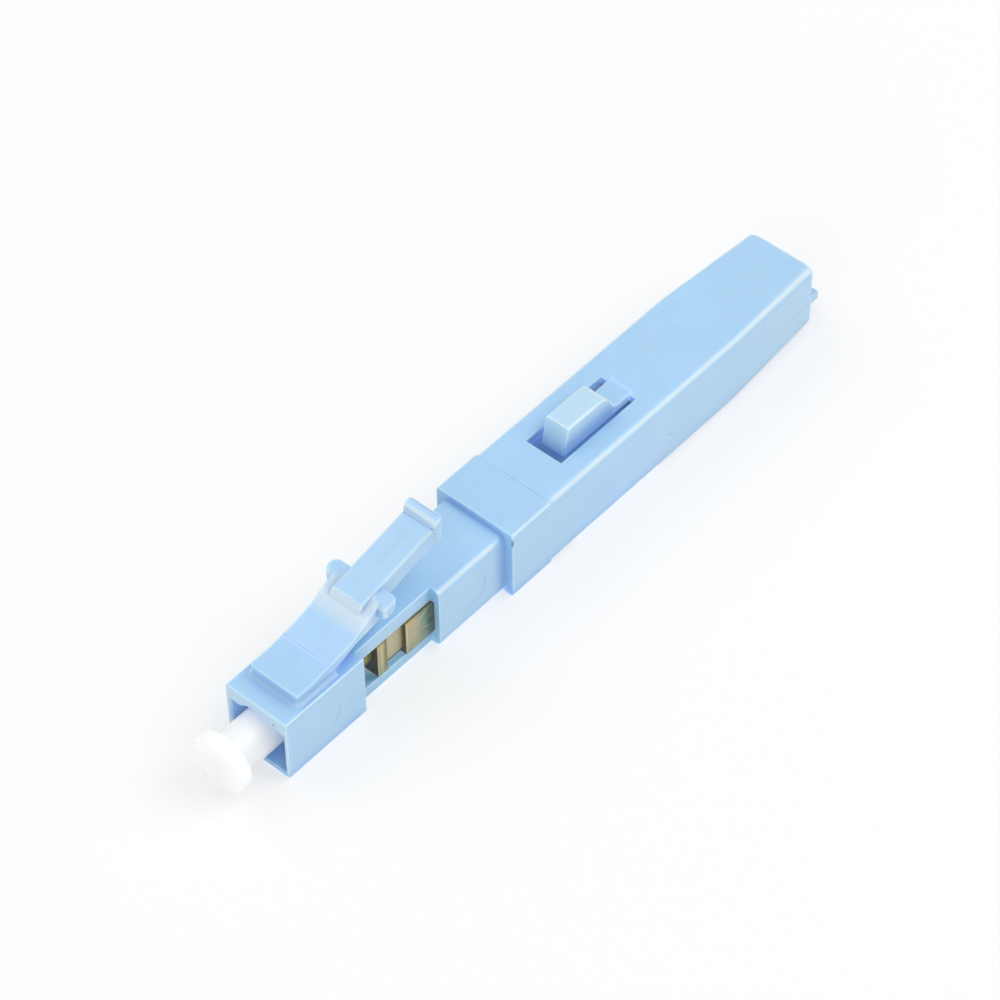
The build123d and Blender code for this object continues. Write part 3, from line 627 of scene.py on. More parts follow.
@dataclass(frozen=True)
class AmberResin:
    """A glossy tinted resin, gold at its thin ribs, sage on its panels and dark green towards its rear, with
    painted shade in its gaps, hollows, top and forward faces, painted highlights along its edges and two
    painted glints.

    Stations, spans and heights are in millimetres.
    """

    name: str = "amber_resin"
    gold: Colour = linear(158, 146, 74)
    # The cream of painted highlights
    highlight_cream: Colour = linear(206, 200, 166)
    sage: Colour = linear(200, 192, 146)
    stone: Colour = linear(176, 168, 130)
    honey: Colour = linear(204, 180, 88)
    moss: Colour = linear(108, 136, 114)
    pine: Colour = linear(70, 98, 80)
    # The dark brown of painted shade
    shade_brown: Colour = linear(84, 70, 46)
    # The pale colour of painted glints
    painted_glint: Colour = linear(232, 234, 205)
    # Along the holder its own tints mix with painted light: the dark brown stops are painted shade in the
    # gaps, the cream stops painted highlights along rib edges
    stations: tuple[tuple[float, str], ...] = (
        (7.0, "shade_brown"), (7.16, "gold"), (7.3, "shade_brown"), (7.42, "gold"), (7.84, "gold"),
        (7.93, "highlight_cream"), (8.06, "gold"), (8.24, "highlight_cream"), (8.4, "gold"), (8.6, "shade_brown"),
        (8.74, "sage"), (9.8, "stone"), (9.96, "highlight_cream"), (10.05, "gold"), (10.16, "highlight_cream"),
        (10.32, "stone"), (10.9, "stone"), (11.5, "moss"), (12.2, "pine"), (15.0, "pine"),
    )
    honey_spans: tuple[Span, ...] = ((8.0, 8.5), (10.14, 10.9))
    honey_fades: Span = (0.1, 0.25)
    honey_heights: Span = (0.45, 0.8)
    honey_strength: float = 0.8
    foot_heights: Span = (-1.3, -0.3)
    foot_strength: float = 0.55
    # Painted shade: darker brown near the top
    brow_heights: Span = (1.0, 1.2)
    brow_shade_strength: float = 0.5
    cloud_cells: float = 1100.0
    cloud_strength: float = 0.25
    # Painted shade: faces that look forward darkened toward brown
    front_span: Span = (-0.8, -0.4)
    front_shade_strength: float = 0.95
    # Painted shade: hollows darkened toward brown
    corner_reach: float = 0.5 * MM
    corner_shade_strength: float = 0.75
    # Painted highlight: sharp edges paled toward cream
    edge_width: float = 0.05 * MM
    edge_highlight_strength: float = 0.6
    gloss_cells: float = 2200.0
    gloss: Span = (0.12, 0.2)
    swell_cells: float = 1500.0
    swell_depth: float = 0.004 * MM
    swell_share: float = 0.25
    refraction: float = 1.5
    soft_light: float = 0.25
    soft_reach: float = 0.4 * MM
    soft_radii: Colour = (1.0, 0.8, 0.4)
    # Two painted glints: pale arcs standing for reflections inside the resin
    arcs: tuple[Arc, ...] = (
        Arc(12.3, -0.3, 1.35, 130.0, 60.0, 0.07, 0.9),
        Arc(12.4, 0.75, 1.35, -114.0, 50.0, 0.06, 0.9),
    )

    def build(self) -> bpy.types.Material:
        """Builds the node material.

        Returns:
            The material.
        """
        g = Graph(self.name)
        along, _, height = g.split(g.place)
        base = g.ramp(along, [(station, getattr(self, shade)) for station, shade in self.stations])
        come, go = self.honey_fades
        high = g.remap_lengths(height, self.honey_heights, 0.0, 1.0)
        for start, end in self.honey_spans:
            band = Tint(Axis.ALONG, start, start + come, end - go, end, self.honey, self.honey_strength)
            base = g.blend(g.sums("MULTIPLY", g.band(band), high), base, self.honey)
        base = g.blend(g.remap_lengths(height, self.foot_heights, self.foot_strength, 0.0), base, self.moss)
        # Painted shade: darker brown near the top
        base = g.blend(g.remap_lengths(height, self.brow_heights, 0.0, self.brow_shade_strength), base, self.shade_brown)
        clouds = g.remap(g.noise(self.cloud_cells), *TIGHT_NOISE, 0.0, self.cloud_strength)
        base = g.blend(clouds, base, self.stone)
        # Painted shade: faces that look forward darkened toward brown
        front = g.local_normal()[Axis.ALONG.value]
        base = g.blend(g.remap(front, *self.front_span, self.front_shade_strength, 0.0), base, self.shade_brown)
        # Painted shade: hollows darkened toward brown
        depth = g.sums("MULTIPLY", g.corner_share(self.corner_reach), self.corner_shade_strength)
        base = g.blend(depth, base, self.shade_brown)
        # Painted highlight: sharp edges paled toward cream
        edges, rounded = g.edge_share(self.edge_width)
        base = g.blend(g.sums("MULTIPLY", edges, self.edge_highlight_strength), base, self.highlight_cream)
        # Two painted glints: pale arcs standing for reflections inside the resin
        for mark in self.arcs:
            base = g.blend(g.sums("MULTIPLY", g.arc(mark), mark.strength), base, self.painted_glint)
        return g.shade(
            Base_Color=base,
            Roughness=g.remap(g.noise(self.gloss_cells), *WIDE_NOISE, *self.gloss),
            Normal=g.relief(g.noise(self.swell_cells), self.swell_depth, self.swell_share, rounded),
            IOR=self.refraction,
            Subsurface_Weight=self.soft_light,
            Subsurface_Radius=self.soft_radii,
            Subsurface_Scale=self.soft_reach,
        )


@dataclass(frozen=True)
class MilkyCap:
    """A soft translucent white plastic that lets light through, with painted shade in its corners, painted
    highlights on its edges and a faint painted glow.
    """

    name: str = "milky_cap"
    colour: Colour = linear(252, 252, 253)
    shade_colour: Colour = linear(236, 240, 245)
    cloud_cells: float = 800.0
    cloud_strength: float = 0.35
    corner_reach: float = 0.8 * MM
    corner_shade_strength: float = 0.5
    edge_width: float = 0.06 * MM
    edge_highlight_strength: float = 0.5
    gloss_cells: float = 1800.0
    gloss: Span = (0.3, 0.42)
    grain_cells: float = 6000.0
    grain_depth: float = 0.006 * MM
    grain_share: float = 0.25
    refraction: float = 1.49
    soft_reach: float = 1.2 * MM
    # Painted glow: a faint emission that whitens the cap
    glow: float = 0.07

    def build(self) -> bpy.types.Material:
        """Builds the node material.

        Returns:
            The material.
        """
        g = Graph(self.name)
        clouds = g.remap(g.noise(self.cloud_cells, 3, 0.5), *WIDE_NOISE, 0.0, 1.0)
        base = g.blend(g.sums("MULTIPLY", clouds, self.cloud_strength), self.colour, self.shade_colour)
        # Painted shade: corners blended toward the shade colour
        corners = g.sums("MULTIPLY", g.corner_share(self.corner_reach), self.corner_shade_strength)
        base = g.blend(corners, base, self.shade_colour)
        # Painted highlight: sharp edges paled toward white
        edges, rounded = g.edge_share(self.edge_width)
        base = g.blend(g.sums("MULTIPLY", edges, self.edge_highlight_strength), base, WHITE)
        return g.shade(
            Base_Color=base,
            Roughness=g.remap(g.noise(self.gloss_cells), *WIDE_NOISE, *self.gloss),
            Normal=g.relief(g.noise(self.grain_cells), self.grain_depth, self.grain_share, rounded),
            IOR=self.refraction,
            Subsurface_Weight=1.0,
            Subsurface_Radius=WHITE,
            Subsurface_Scale=self.soft_reach,
            Emission_Color=self.colour,
            Emission_Strength=self.glow,
        )


@dataclass(frozen=True)
class PolishedCeramic:
    """Dense white zirconia with very fine grinding rings."""

    name: str = "polished_ceramic"
    colour: Colour = linear(240, 240, 236)
    tone_colour: Colour = linear(226, 226, 220)
    tone_cells: float = 900.0
    tone_strength: float = 0.6
    ring_cells: float = 5000.0
    ring_stretch: Point = (4.0, 0.3, 0.3)
    ring_depth: float = 0.002 * MM
    ring_share: float = 0.2
    gloss: Span = (0.12, 0.22)
    refraction: float = 1.9
    coat: float = 0.3
    soft_light: float = 0.1
    soft_reach: float = 0.4 * MM

    def build(self) -> bpy.types.Material:
        """Builds the node material.

        Returns:
            The material.
        """
        g = Graph(self.name)
        rings = g.noise(self.ring_cells, 2, 0.5, g.stretch(self.ring_stretch))
        tone = g.remap(g.noise(self.tone_cells), *WIDE_NOISE, 0.0, self.tone_strength)
        return g.shade(
            Base_Color=g.blend(tone, self.colour, self.tone_colour),
            Roughness=g.remap(rings, *WIDE_NOISE, *self.gloss),
            Normal=g.relief(rings, self.ring_depth, self.ring_share),
            IOR=self.refraction,
            Coat_Weight=self.coat,
            Subsurface_Weight=self.soft_light,
            Subsurface_Scale=self.soft_reach,
        )


@dataclass(frozen=True)
class DrawnSteel:
    """Bright drawn wire and strip with fine lines along its length."""

    name: str = "drawn_steel"
    colour: Colour = linear(186, 186, 188)
    line_colour: Colour = linear(150, 150, 154)
    line_cells: float = 4000.0
    line_stretch: Point = (0.2, 3.0, 3.0)
    line_depth: float = 0.003 * MM
    line_share: float = 0.3
    gloss_cells: float = 2600.0
    gloss: Span = (0.2, 0.36)

    def build(self) -> bpy.types.Material:
        """Builds the node material.

        Returns:
            The material.
        """
        g = Graph(self.name)
        lines = g.noise(self.line_cells, 3, 0.6, g.stretch(self.line_stretch))
        return g.shade(
            Base_Color=g.blend(g.remap(lines, *WIDE_NOISE, 0.0, 1.0), self.colour, self.line_colour),
            Metallic=1.0,
            Roughness=g.remap(g.noise(self.gloss_cells, 3), *WIDE_NOISE, *self.gloss),
            Normal=g.relief(lines, self.line_depth, self.line_share),
        )


@dataclass(frozen=True)
class ClearSilica:
    """The bare glass fibre, slightly blue where it is seen end on."""

    name: str = "clear_silica"
    colour: Colour = linear(234, 242, 248)
    deep_colour: Colour = linear(214, 228, 240)
    tone_cells: float = 3000.0
    gloss_cells: float = 5000.0
    gloss: Span = (0.03, 0.08)
    refraction: float = 1.46
    clearness: float = 0.8

    def build(self) -> bpy.types.Material:
        """Builds the node material.

        Returns:
            The material.
        """
        g = Graph(self.name)
        tone = g.remap(g.noise(self.tone_cells), *WIDE_NOISE, 0.0, 1.0)
        return g.shade(
            Base_Color=g.blend(tone, self.colour, self.deep_colour),
            Roughness=g.remap(g.noise(self.gloss_cells), *WIDE_NOISE, *self.gloss),
            IOR=self.refraction,
            Transmission_Weight=self.clearness,
        )


SKY = linear(176, 213, 241)
# The deep blue of painted shade in corners and grooves, also the colour of the plug's arc marks
SKY_SHADE_AND_MARK = linear(116, 168, 228)
# The pale blue of painted highlights on edges
SKY_HIGHLIGHT = linear(206, 230, 244)
SLOT_ZONE = (23.0, 31.0)

# The sleeve: a stronger painted glow, kept to the stretch of the button's slot
BLUE = MouldedPlastic(
    "sky_blue_plastic", SKY, SKY_SHADE_AND_MARK, SKY_HIGHLIGHT, soak=0.8, soak_zone=SLOT_ZONE,
    spots=(Spot((31.69, -2.87, -0.36), (0.14, 0.3, 0.09), 0.45),))
# The plug: painted glow in closed places, painted shade turned teal along the window, its front face painted
# paler as lit, two arc marks and two small marks
PLUG = MouldedPlastic(
    "plug_blue_plastic", SKY, SKY_SHADE_AND_MARK, SKY_HIGHLIGHT, soak=0.65,
    corner_shade_tint=Tint(Axis.ALONG, 5.8, 6.3, 12.2, 12.6, linear(118, 190, 214), 0.8),
    tints=(Tint(Axis.ALONG, -1.0, -0.5, 0.02, 0.12, linear(196, 220, 232), 0.7),),
    arcs=(Arc(15.12, -0.03, 1.0, -45.0, 175.0), Arc(3.37, -0.05, 0.8, -27.0, 110.0)),
    spots=(Spot((17.8, -2.84, 2.1), (0.1, 0.08, 0.32)), Spot((0.0, -1.3, 1.65), (0.3, 0.1, 0.1))))
# The latch: a stronger painted halo, lighter painted shade, and a pale band at the thin neck, painted light
# showing through
LATCH = MouldedPlastic(
    "latch_blue_plastic", linear(180, 215, 242), SKY_SHADE_AND_MARK, linear(214, 231, 245),
    halo_highlight_strength=0.5, corner_shade_strength=0.45,
    tints=(Tint(Axis.ALONG, 6.5, 7.0, 7.35, 7.5, linear(212, 226, 246), 0.7),))
# The button: a deeper painted shade, none of it from 29 mm back on the tongue, a stronger painted halo, and
# its top painted paler as lit
BUTTON = MouldedPlastic(
    "button_blue_plastic", SKY, linear(112, 158, 222), linear(214, 235, 245),
    halo_highlight_strength=0.5, corner_shade_tint=Tint(Axis.ALONG, 28.6, 29.0, 40.0, 41.0, SKY, 1.0),
    tints=(Tint(Axis.UP, 3.2, 4.1, 5.0, 6.0, linear(196, 224, 241), 0.9),))
# The inner body: lighter painted shade, and a stronger painted glow kept to the stretch of the button's slot
BODY = MouldedPlastic(
    "body_blue_plastic", linear(176, 214, 244), SKY_SHADE_AND_MARK, SKY_HIGHLIGHT, corner_shade_strength=0.3,
    soak=0.8, soak_zone=SLOT_ZONE)
# The finish of the fine raised lines: its paleness is a painted highlight
RIDGE_HIGHLIGHT = MouldedPlastic(
    "ridge_highlight_plastic", linear(216, 236, 246), SKY, linear(228, 241, 248), soft_light=0.0,
    corner_shade_strength=0.0, groove_shade_strength=0.0, soak=0.0)
# The hidden mouldings keep the default painted shade, highlights, sheen and glow
FLANGE = MouldedPlastic("flange_plastic", linear(228, 228, 222), linear(190, 190, 180), linear(244, 244, 240))
SPLICE = MouldedPlastic("splice_plastic", linear(222, 218, 200), linear(170, 160, 130), linear(240, 238, 228))
GUIDE = MouldedPlastic("guide_plastic", linear(226, 230, 232), linear(184, 190, 196), linear(244, 246, 248))
CLAMP = MouldedPlastic("clamp_plastic", linear(232, 232, 226), linear(186, 186, 176), linear(246, 246, 242))


def deselect() -> None:
    """Clears the selection, so that an operator meets only what is picked next."""
    bpy.ops.object.select_all(action="DESELECT")


def pick(piece: bpy.types.Object) -> None:
    """Makes one object the only one selected, and active."""
    deselect()
    piece.select_set(True)
    bpy.context.view_layer.objects.active = piece


def settle(piece: bpy.types.Object) -> None:
    """Moves an object's place, turn and size into its mesh."""
    pick(piece)
    bpy.ops.object.transform_apply(location=True, rotation=True, scale=True)


def apply_modifiers(piece: bpy.types.Object) -> None:
    """Applies every modifier of a piece, first to last."""
    pick(piece)
    for modifier in list(piece.modifiers):
        bpy.ops.object.modifier_apply(modifier=modifier.name)


def paint(piece: bpy.types.Object, material: bpy.types.Material) -> None:
    """Puts one material on every slot of a piece.

    Args:
        piece: the object.
        material: its finish.
    """
    if not piece.material_slots:
        piece.data.materials.append(material)
    for holder in piece.material_slots:
        holder.material = material


def edge_sides(mesh: bpy.types.Mesh) -> dict[tuple[int, int], list[tuple[Vector, Vector]]]:
    """Lists the faces at each edge.

    Args:
        mesh: a closed mesh.

    Returns:
        For each pair of vertex numbers, each face's normal and its way inwards from the edge.
    """
    sides: dict[tuple[int, int], list[tuple[Vector, Vector]]] = {}
    for face in mesh.polygons:
        ring = list(face.vertices)
        for first, second in zip(ring, ring[1:] + ring[:1]):
            along = mesh.vertices[second].co - mesh.vertices[first].co
            key = (min(first, second), max(first, second))
            sides.setdefault(key, []).append((face.normal.copy(), face.normal.cross(along).normalized()))
    return sides


def mark_outer_edges(mesh: bpy.types.Mesh, least: float, wanted: Callable[[Vector], bool]) -> None:
    """Selects the sharp outward edges that pass a test, and nothing else.

    Args:
        mesh: a closed mesh, in object mode.
        least: the smallest turn between two faces that counts, in radians.
        wanted: says whether an edge with this middle is taken.
    """
    for item in (*mesh.vertices, *mesh.polygons):
        item.select = False
    sides = edge_sides(mesh)
    for edge in mesh.edges:
        pair = sides.get(tuple(sorted(edge.vertices)), [])
        edge.select = False
        if len(pair) == 2:
            (first, _), (second, inward) = pair
            middle = (mesh.vertices[edge.vertices[0]].co + mesh.vertices[edge.vertices[1]].co) / 2
            edge.select = first.dot(second) < math.cos(least) and inward.dot(first) < 0 and wanted(middle)


@dataclass(frozen=True)
class Root:
    """The line where a bending arm's top meets its moulding, in millimetres along and up."""

    low: float
    high: float
    above: float
    shift: float

    def close(self, piece: bpy.types.Object) -> None:
        """Draws the arm's end up to the moulding, so that hardly a gap shows.

        Args:
            piece: the arm's object, which is the active one.
        """
        for part in (*piece.data.vertices, *piece.data.edges, *piece.data.polygons):
            part.select = False
        for vertex in piece.data.vertices:
            vertex.select = self.low < vertex.co.x / MM < self.high and vertex.co.z / MM > self.above
        bpy.context.scene.tool_settings.mesh_select_mode = (True, False, False)
        bpy.ops.object.mode_set(mode="EDIT")
        bpy.ops.transform.translate(value=(self.shift * MM, 0.0, 0.0))
        bpy.ops.object.mode_set(mode="OBJECT")


@dataclass
class SubAssembly:
    """Pieces that ride on the same bodies and share finishes."""

    finishes: dict[str, bpy.types.Material]
    made: list[bpy.types.Object] = field(default_factory=list)

    def dress(self, node: str, finish: str) -> bpy.types.Object:
        """Gives a CAD node its finish.

        Args:
            node: the node's name.
            finish: the finish's key.

        Returns:
            The node's object.
        """
        piece = frame["nodes"][node]
        paint(piece, self.finishes[finish])
        pick(piece)
        bpy.ops.object.shade_smooth_by_angle(angle=CAD_SMOOTH_ANGLE)
        self.made.append(piece)
        log.info("node %s dressed in %s", node, finish)
        return piece

    def copy(self, node: str) -> bpy.types.Object:
        """Copies a CAD node into a piece of its own, with its doubles merged.

        Args:
            node: the node to copy.

        Returns:
            The copy, active and selected.
        """
        pick(frame["nodes"][node])
        bpy.ops.object.duplicate()
        piece = bpy.context.active_object
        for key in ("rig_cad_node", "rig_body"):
            if key in piece:
                del piece[key]
        piece.parent = None
        piece.name = f"{node}_finished"
        piece.data.name = piece.name
        bpy.ops.object.mode_set(mode="EDIT")
        bpy.ops.mesh.select_all(action="SELECT")
        bpy.ops.mesh.remove_doubles(threshold=DOUBLES_REACH)
        bpy.ops.object.mode_set(mode="OBJECT")
        return piece

    def soften(self, node: str, body: str, finish: str, slot: str, width: float,
               seams: Sequence[float] = (), root: Root | None = None) -> bpy.types.Object:
        """Makes a copy of a CAD node with small rounded edges, which then stands for it.

        Args:
            node: the node to copy.
            body: the body it rides on.
            finish: the finish's key.
            slot: not used.
            width: the rounding's width in metres.
            seams: stations in millimetres whose edges stay sharp.
            root: where a bending arm meets its moulding, if it does.

        Returns:
            The new piece.
        """
        piece = self.copy(node)
        bpy.context.scene.tool_settings.mesh_select_mode = (False, True, False)
        bpy.ops.object.mode_set(mode="EDIT")
        bpy.ops.mesh.select_all(action="SELECT")
        bpy.ops.mesh.dissolve_limited(angle_limit=FLAT_ANGLE)
        bpy.ops.object.mode_set(mode="OBJECT")
        mark_outer_edges(piece.data, SHARP_ANGLE,
                         lambda middle: all(abs(middle.x - seam * MM) > SEAM_REACH for seam in seams))
        bpy.ops.object.mode_set(mode="EDIT")
        bpy.ops.mesh.bevel(offset=width, segments=3, affect="EDGES", clamp_overlap=False,
                           miter_outer="SHARP", miter_inner="SHARP")
        bpy.ops.object.mode_set(mode="OBJECT")
        if root:
            root.close(piece)
        bpy.ops.object.shade_smooth_by_angle(angle=SMOOTH_ANGLE)
        even = piece.modifiers.new("even_shading", "WEIGHTED_NORMAL")
        even.keep_sharp = True
        apply_modifiers(piece)
        paint(piece, self.finishes[finish])
        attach(piece, body)
        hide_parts(node)
        self.made.append(piece)
        log.info("node %s softened, %d faces", node, len(piece.data.polygons))
        return piece

    def keep(self, piece: bpy.types.Object, name: str, body: str, finish: str, slot: str) -> bpy.types.Object:
        """Names, paints and hangs a newly modelled piece.

        Args:
            piece: the finished object.
            name: its name.
            body: the body it rides on.
            finish: the finish's key.
            slot: not used.

        Returns:
            The same object.
        """
        settle(piece)
        piece.name = name
        piece.data.name = name
        paint(piece, self.finishes[finish])
        bpy.ops.object.shade_smooth_by_angle(angle=SMOOTH_ANGLE)
        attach(piece, body)
        self.made.append(piece)
        log.info("piece %s made, %d faces", name, len(piece.data.polygons))
        return piece


@dataclass
class FineRidge:
    """A hair-fine raised line, such as a mould's joint leaves, in millimetres."""

    start: Point
    end: Point
    width: float = 0.05
    height: float = 0.03
    rounding: float = 0.35

    def model(self) -> bpy.types.Object:
        """Stretches a block along the line and rounds its edges.

        Returns:
            The ridge's object.
        """
        first, last = millimetres(*self.start), millimetres(*self.end)
        run = last - first
        deselect()
        bpy.ops.mesh.primitive_cube_add(size=1.0, location=(first + last) / 2,
                                        rotation=run.to_track_quat("X", "Z").to_euler())
        ridge = bpy.context.active_object
        ridge.scale = (run.length, self.width * MM, self.height * MM)
        settle(ridge)
        bpy.ops.object.mode_set(mode="EDIT")
        bpy.ops.mesh.select_all(action="SELECT")
        offset = min(self.width, self.height) * self.rounding * MM
        bpy.ops.mesh.bevel(offset=offset, segments=2, affect="EDGES")
        bpy.ops.object.mode_set(mode="OBJECT")
        return ridge


@dataclass
class PlugAssembly(SubAssembly):
    """The plug housing and its latch, in millimetres."""

    edge: float = 0.035
    seam: float = 21.1
    root: float = 4.13
    latch_root: Root = Root(low=4.12, high=4.16, above=3.19, shift=-0.022)
    crease_x: float = 13.2
    crease_z: float = 6.0
    lever_slope: float = 1.22 / 5.75
    lever_line: Span = (9.9, 12.6)
    lever_line_width: float = 0.045
    # A pale bead at the tip's crease, a painted highlight
    tip_crease_highlight: tuple[Point, Point] = ((13.23, -0.55, 6.06), (13.23, 1.12, 6.06))
    tip_line_width: float = 0.06
    tip_line_height: float = 0.05

    def build(self) -> None:
        """Softens both mouldings and adds two fine raised lines, the lever's mould line and a bead at the
        tip's crease, both pale as painted highlights.
        """
        self.soften("plug_housing", "connector_body", "plug", "blue_plastic", self.edge * MM,
                    seams=(self.seam, self.root))
        self.soften("latch_arm", "latch", "latch", "blue_plastic", self.edge * MM,
                    seams=(self.root,), root=self.latch_root)
        lever = (self.on_lever(station) for station in self.lever_line)
        lines = {
            "lever_line": FineRidge(*lever, width=self.lever_line_width),
            "tip_crease_highlight": FineRidge(*self.tip_crease_highlight, width=self.tip_line_width, height=self.tip_line_height),
        }
        # Both lines are raised ridges; their pale finish is a painted highlight
        for name, line in lines.items():
            self.keep(line.model(), name, "latch", "pale", "blue_plastic")

    def on_lever(self, x: float) -> Point:
        """Gives the point of the lever's top middle at a station in millimetres."""
        return x, 0.0, self.crease_z - (self.crease_x - x) * self.lever_slope


@dataclass
class SpliceAssembly(SubAssembly):
    """The ferrule, the amber splice holder and what is clipped inside it."""

    edge: float = 0.03
    inner: tuple[tuple[str, str], ...] = (
        ("ferrule", "ceramic"), ("ferrule_flange", "flange"), ("fibre_stub", "silica"),
        ("splice_base", "splice"), ("splice_cover_front", "splice"), ("splice_cover_rear", "splice"),
        ("splice_clip_front", "steel"), ("splice_clip_rear", "steel"), ("fibre_guide", "guide"),
    )

    def build(self) -> None:
        """Dresses the hidden parts and softens the holder that the window shows."""
        for node, finish in self.inner:
            self.dress(node, finish)
        self.soften("splice_holder", "ferrule_unit", "amber", "amber_plastic", self.edge * MM)
        self.spring()

    def spring(self) -> None:
        """Copies the spring with smooth coils and a steel finish to stand for its node, fixed where it is."""
        piece = self.copy("ferrule_spring")
        bpy.ops.object.shade_smooth_by_angle(angle=COIL_SMOOTH_ANGLE)
        paint(piece, self.finishes["steel"])
        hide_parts("ferrule_spring")
        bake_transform(piece)
        self.made.append(piece)
        log.info("node ferrule_spring shortens as the holder is pushed back")


@dataclass
class TailAssembly(SubAssembly):
    """The tail sleeve with its button, and the inner body with lid, pin and clamp, in millimetres."""

    sleeve_edge: float = 0.035
    button_edge: float = 0.08
    body_edge: float = 0.03
    seam: float = 21.12
    root: float = 30.56
    button_root: Root = Root(low=30.53, high=30.56, above=2.71, shift=0.024)
    half_width: float = 2.84
    taper_start: float = 37.6
    taper_length: float = 8.0
    taper_side: float = 0.37
    side_line: tuple[Span, Span] = ((41.8, -0.3), (44.5, -0.27))
    side_line_height: float = 0.06

    def build(self) -> None:
        """Softens the mouldings that show and dresses those inside."""
        self.soften("tail_sleeve", "sleeve", "blue", "blue_plastic", self.sleeve_edge * MM,
                    seams=(self.seam, self.root))
        self.soften("sleeve_button", "button", "button", "blue_plastic", self.button_edge * MM,
                    seams=(self.root,), root=self.button_root)
        self.soften("inner_body", "connector_body", "body", "body_plastic", self.body_edge * MM)
        self.dress("cable_lid", "body")
        self.dress("lid_pin", "steel")
        self.dress("coat_clamp", "clamp")
        # A fine raised line on the tapered side; its pale finish is a painted highlight
        ends = ((x, self.side_at(x), z) for x, z in self.side_line)
        line = FineRidge(*ends, height=self.side_line_height)
        self.keep(line.model(), "side_line", "sleeve", "pale", "blue_plastic")

    def side_at(self, x: float) -> float:
        """Gives the tapered side's place across at a station in millimetres."""
        return -self.half_width + self.taper_side * (x - self.taper_start) / self.taper_length


@dataclass
class CapAssembly(SubAssembly):
    """The dust cap."""

    edge: float = 0.05

    def build(self) -> None:
        """Softens the cap's rims."""
        self.soften("dust_cap", "cap", "cap", "cap_plastic", self.edge * MM)


@dataclass(frozen=True)
class Lamp:
    """A square soft light, its place and side in metres and its power in watts."""

    name: str
    place: Point
    power: float
    side: float = 0.5

    def hang(self, target: Vector) -> None:
        """Adds the light, looking at a point.

        Args:
            target: the point in metres.
        """
        data = bpy.data.lights.new(self.name, "AREA")
        data.shape = "SQUARE"
        data.size = self.side
        data.energy = self.power
        lamp = bpy.data.objects.new(self.name, data)
        bpy.context.scene.collection.objects.link(lamp)
        lamp.location = self.place
        lamp.rotation_mode = "QUATERNION"
        lamp.rotation_quaternion = (target - lamp.location).to_track_quat("-Z", "Y")


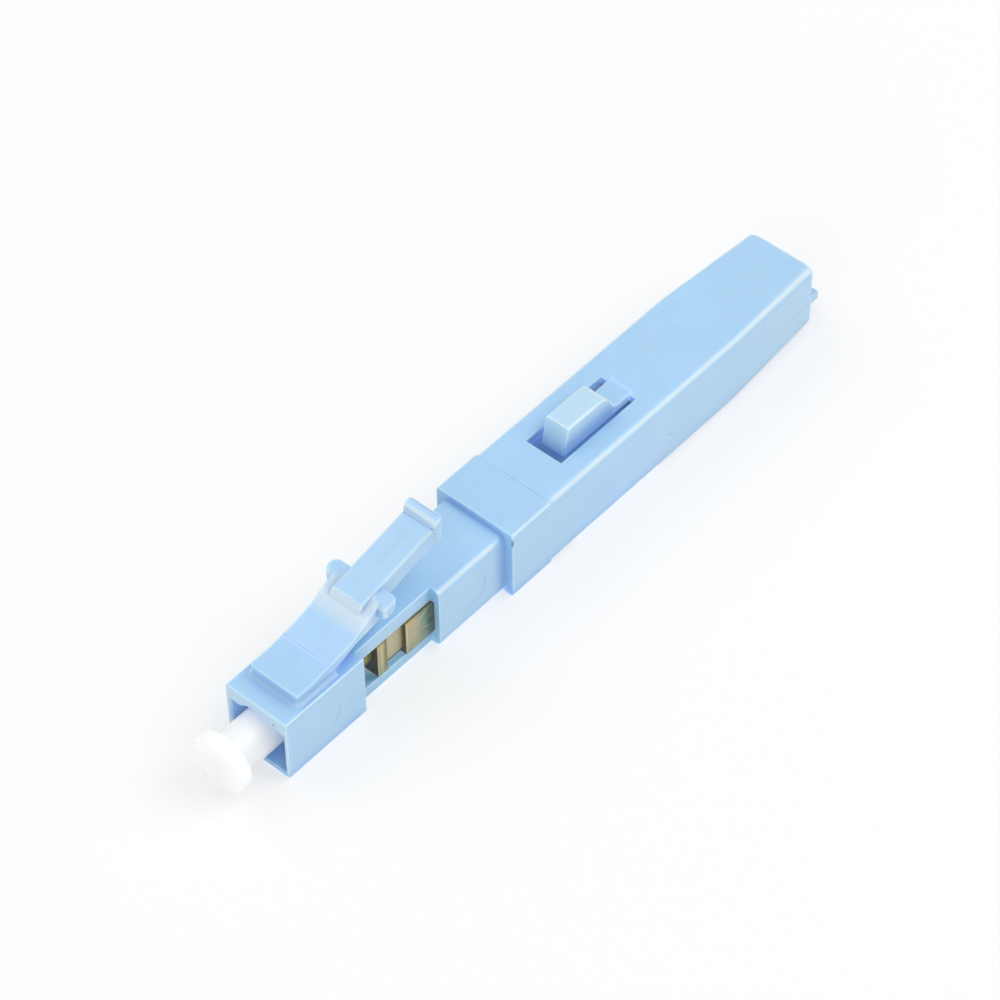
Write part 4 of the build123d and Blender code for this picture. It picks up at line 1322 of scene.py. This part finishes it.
@dataclass
class Studio:
    """The pale table, the soft lights and the camera: millimetres, degrees and photograph pixels."""

    floor_level: float = -2.46
    table_side: float = 6000.0
    table_tone: float = 0.85
    seen_tone: float = 0.45
    seen_glow: float = 0.52
    table_roughness: float = 0.9
    room_colour: Colour = (0.97, 0.985, 1.0)
    room_strength: float = 0.56
    azimuth: float = -47.972
    elevation: float = 48.76
    roll: float = -0.933
    distance: float = 225.0
    focal_pixels: float = 3936.474
    frame_pixels: float = 1000.0
    sensor: float = 36.0
    nearest: float = 10.0
    farthest: float = 20000.0
    aim: Point = (21.182, 1.08, 0.0)
    lamps: tuple[Lamp, ...] = (
        Lamp("key_light", (0.33, -0.29, 0.55), 2.0),
        Lamp("fill_light", (-0.1, 0.45, 0.5), 1.0),
        Lamp("front_light", (-0.6, -0.22, 0.3), 1.2),
    )

    def floor(self) -> None:
        """Lays a wide pale table that shows the object's shadow."""
        deselect()
        bpy.ops.mesh.primitive_plane_add(size=self.table_side * MM, location=(0, 0, self.floor_level * MM))
        table = bpy.context.active_object
        table.name = "studio_table"
        settle(table)
        g = Graph("studio_table")
        path = g.add("ShaderNodeLightPath")
        seen = g.sums("MAXIMUM", path.outputs["Is Camera Ray"], path.outputs["Is Glossy Ray"])
        seen = g.sums("MAXIMUM", seen, path.outputs["Is Transmission Ray"])
        g.shade(
            Base_Color=g.blend(seen, (self.table_tone,) * 3, (self.seen_tone,) * 3),
            Roughness=self.table_roughness,
            Specular_IOR_Level=0.0,
            Emission_Color=g.blend(seen, BLACK, WHITE),
            Emission_Strength=self.seen_glow,
        )
        paint(table, g.material)

    def world(self) -> None:
        """Fills the room with even pale light."""
        world = bpy.data.worlds.new("studio_room")
        bpy.context.scene.world = world
        world.use_nodes = True
        tree = world.node_tree
        tree.nodes.clear()
        path = tree.nodes.new("ShaderNodeLightPath")
        mix = tree.nodes.new("ShaderNodeMixShader")
        output = tree.nodes.new("ShaderNodeOutputWorld")
        tree.links.new(path.outputs["Is Camera Ray"], mix.inputs["Fac"])
        looks = ((self.room_colour, self.room_strength), (WHITE, 1.0))
        for socket, (colour, strength) in zip(mix.inputs[1:], looks):
            light = tree.nodes.new("ShaderNodeBackground")
            light.inputs["Color"].default_value = (*colour, 1.0)
            light.inputs["Strength"].default_value = strength
            tree.links.new(light.outputs["Background"], socket)
        tree.links.new(mix.outputs["Shader"], output.inputs["Surface"])

    def camera(self) -> None:
        """Sets the camera where the object is seen from above its left front."""
        turn, lift, roll = (math.radians(v) for v in (self.azimuth, self.elevation, self.roll))
        back = Vector((math.sin(turn) * math.cos(lift), -math.cos(turn) * math.cos(lift), math.sin(lift)))
        right = Vector((math.cos(turn), math.sin(turn), 0.0))
        up = back.cross(right)
        side = right * math.cos(roll) + up * math.sin(roll)
        top = back.cross(side)
        data = bpy.data.cameras.new("studio_camera")
        data.sensor_width = self.sensor
        data.lens = self.focal_pixels * self.sensor / self.frame_pixels
        data.clip_start = self.nearest * MM
        data.clip_end = self.farthest * MM
        camera = bpy.data.objects.new("studio_camera", data)
        bpy.context.scene.collection.objects.link(camera)
        place = (Vector(self.aim) + back * self.distance) * MM
        turned = Matrix((side, top, back)).transposed().to_4x4()
        camera.matrix_world = Matrix.Translation(place) @ turned
        bpy.context.scene.camera = camera

    def build(self) -> None:
        """Sets up floor, room, lights and camera."""
        self.floor()
        self.world()
        for lamp in self.lamps:
            lamp.hang(Vector(self.aim) * MM)
        self.camera()
        bpy.context.scene.view_settings.view_transform = "Standard"


def build_finishes() -> dict[str, bpy.types.Material]:
    """Builds every finish once.

    Returns:
        The materials by key.
    """
    return {
        "blue": BLUE.build(),
        "body": BODY.build(),
        "plug": PLUG.build(),
        "latch": LATCH.build(),
        "button": BUTTON.build(),
        "pale": RIDGE_HIGHLIGHT.build(),
        "flange": FLANGE.build(),
        "splice": SPLICE.build(),
        "guide": GUIDE.build(),
        "clamp": CLAMP.build(),
        "amber": AmberResin().build(),
        "cap": MilkyCap().build(),
        "ceramic": PolishedCeramic().build(),
        "steel": DrawnSteel().build(),
        "silica": ClearSilica().build(),
    }


def main() -> None:
    """Builds the finishes, each sub-assembly and the studio, in order."""
    logging.basicConfig(level=logging.INFO, format="%(name)s: %(message)s")
    finishes = build_finishes()
    parts: Iterable[SubAssembly] = (
        PlugAssembly(finishes), SpliceAssembly(finishes), TailAssembly(finishes), CapAssembly(finishes))
    for part in parts:
        part.build()
        log.info("%s has %d pieces", type(part).__name__, len(part.made))
    Studio().build()


if __name__ == "__main__":
    main()
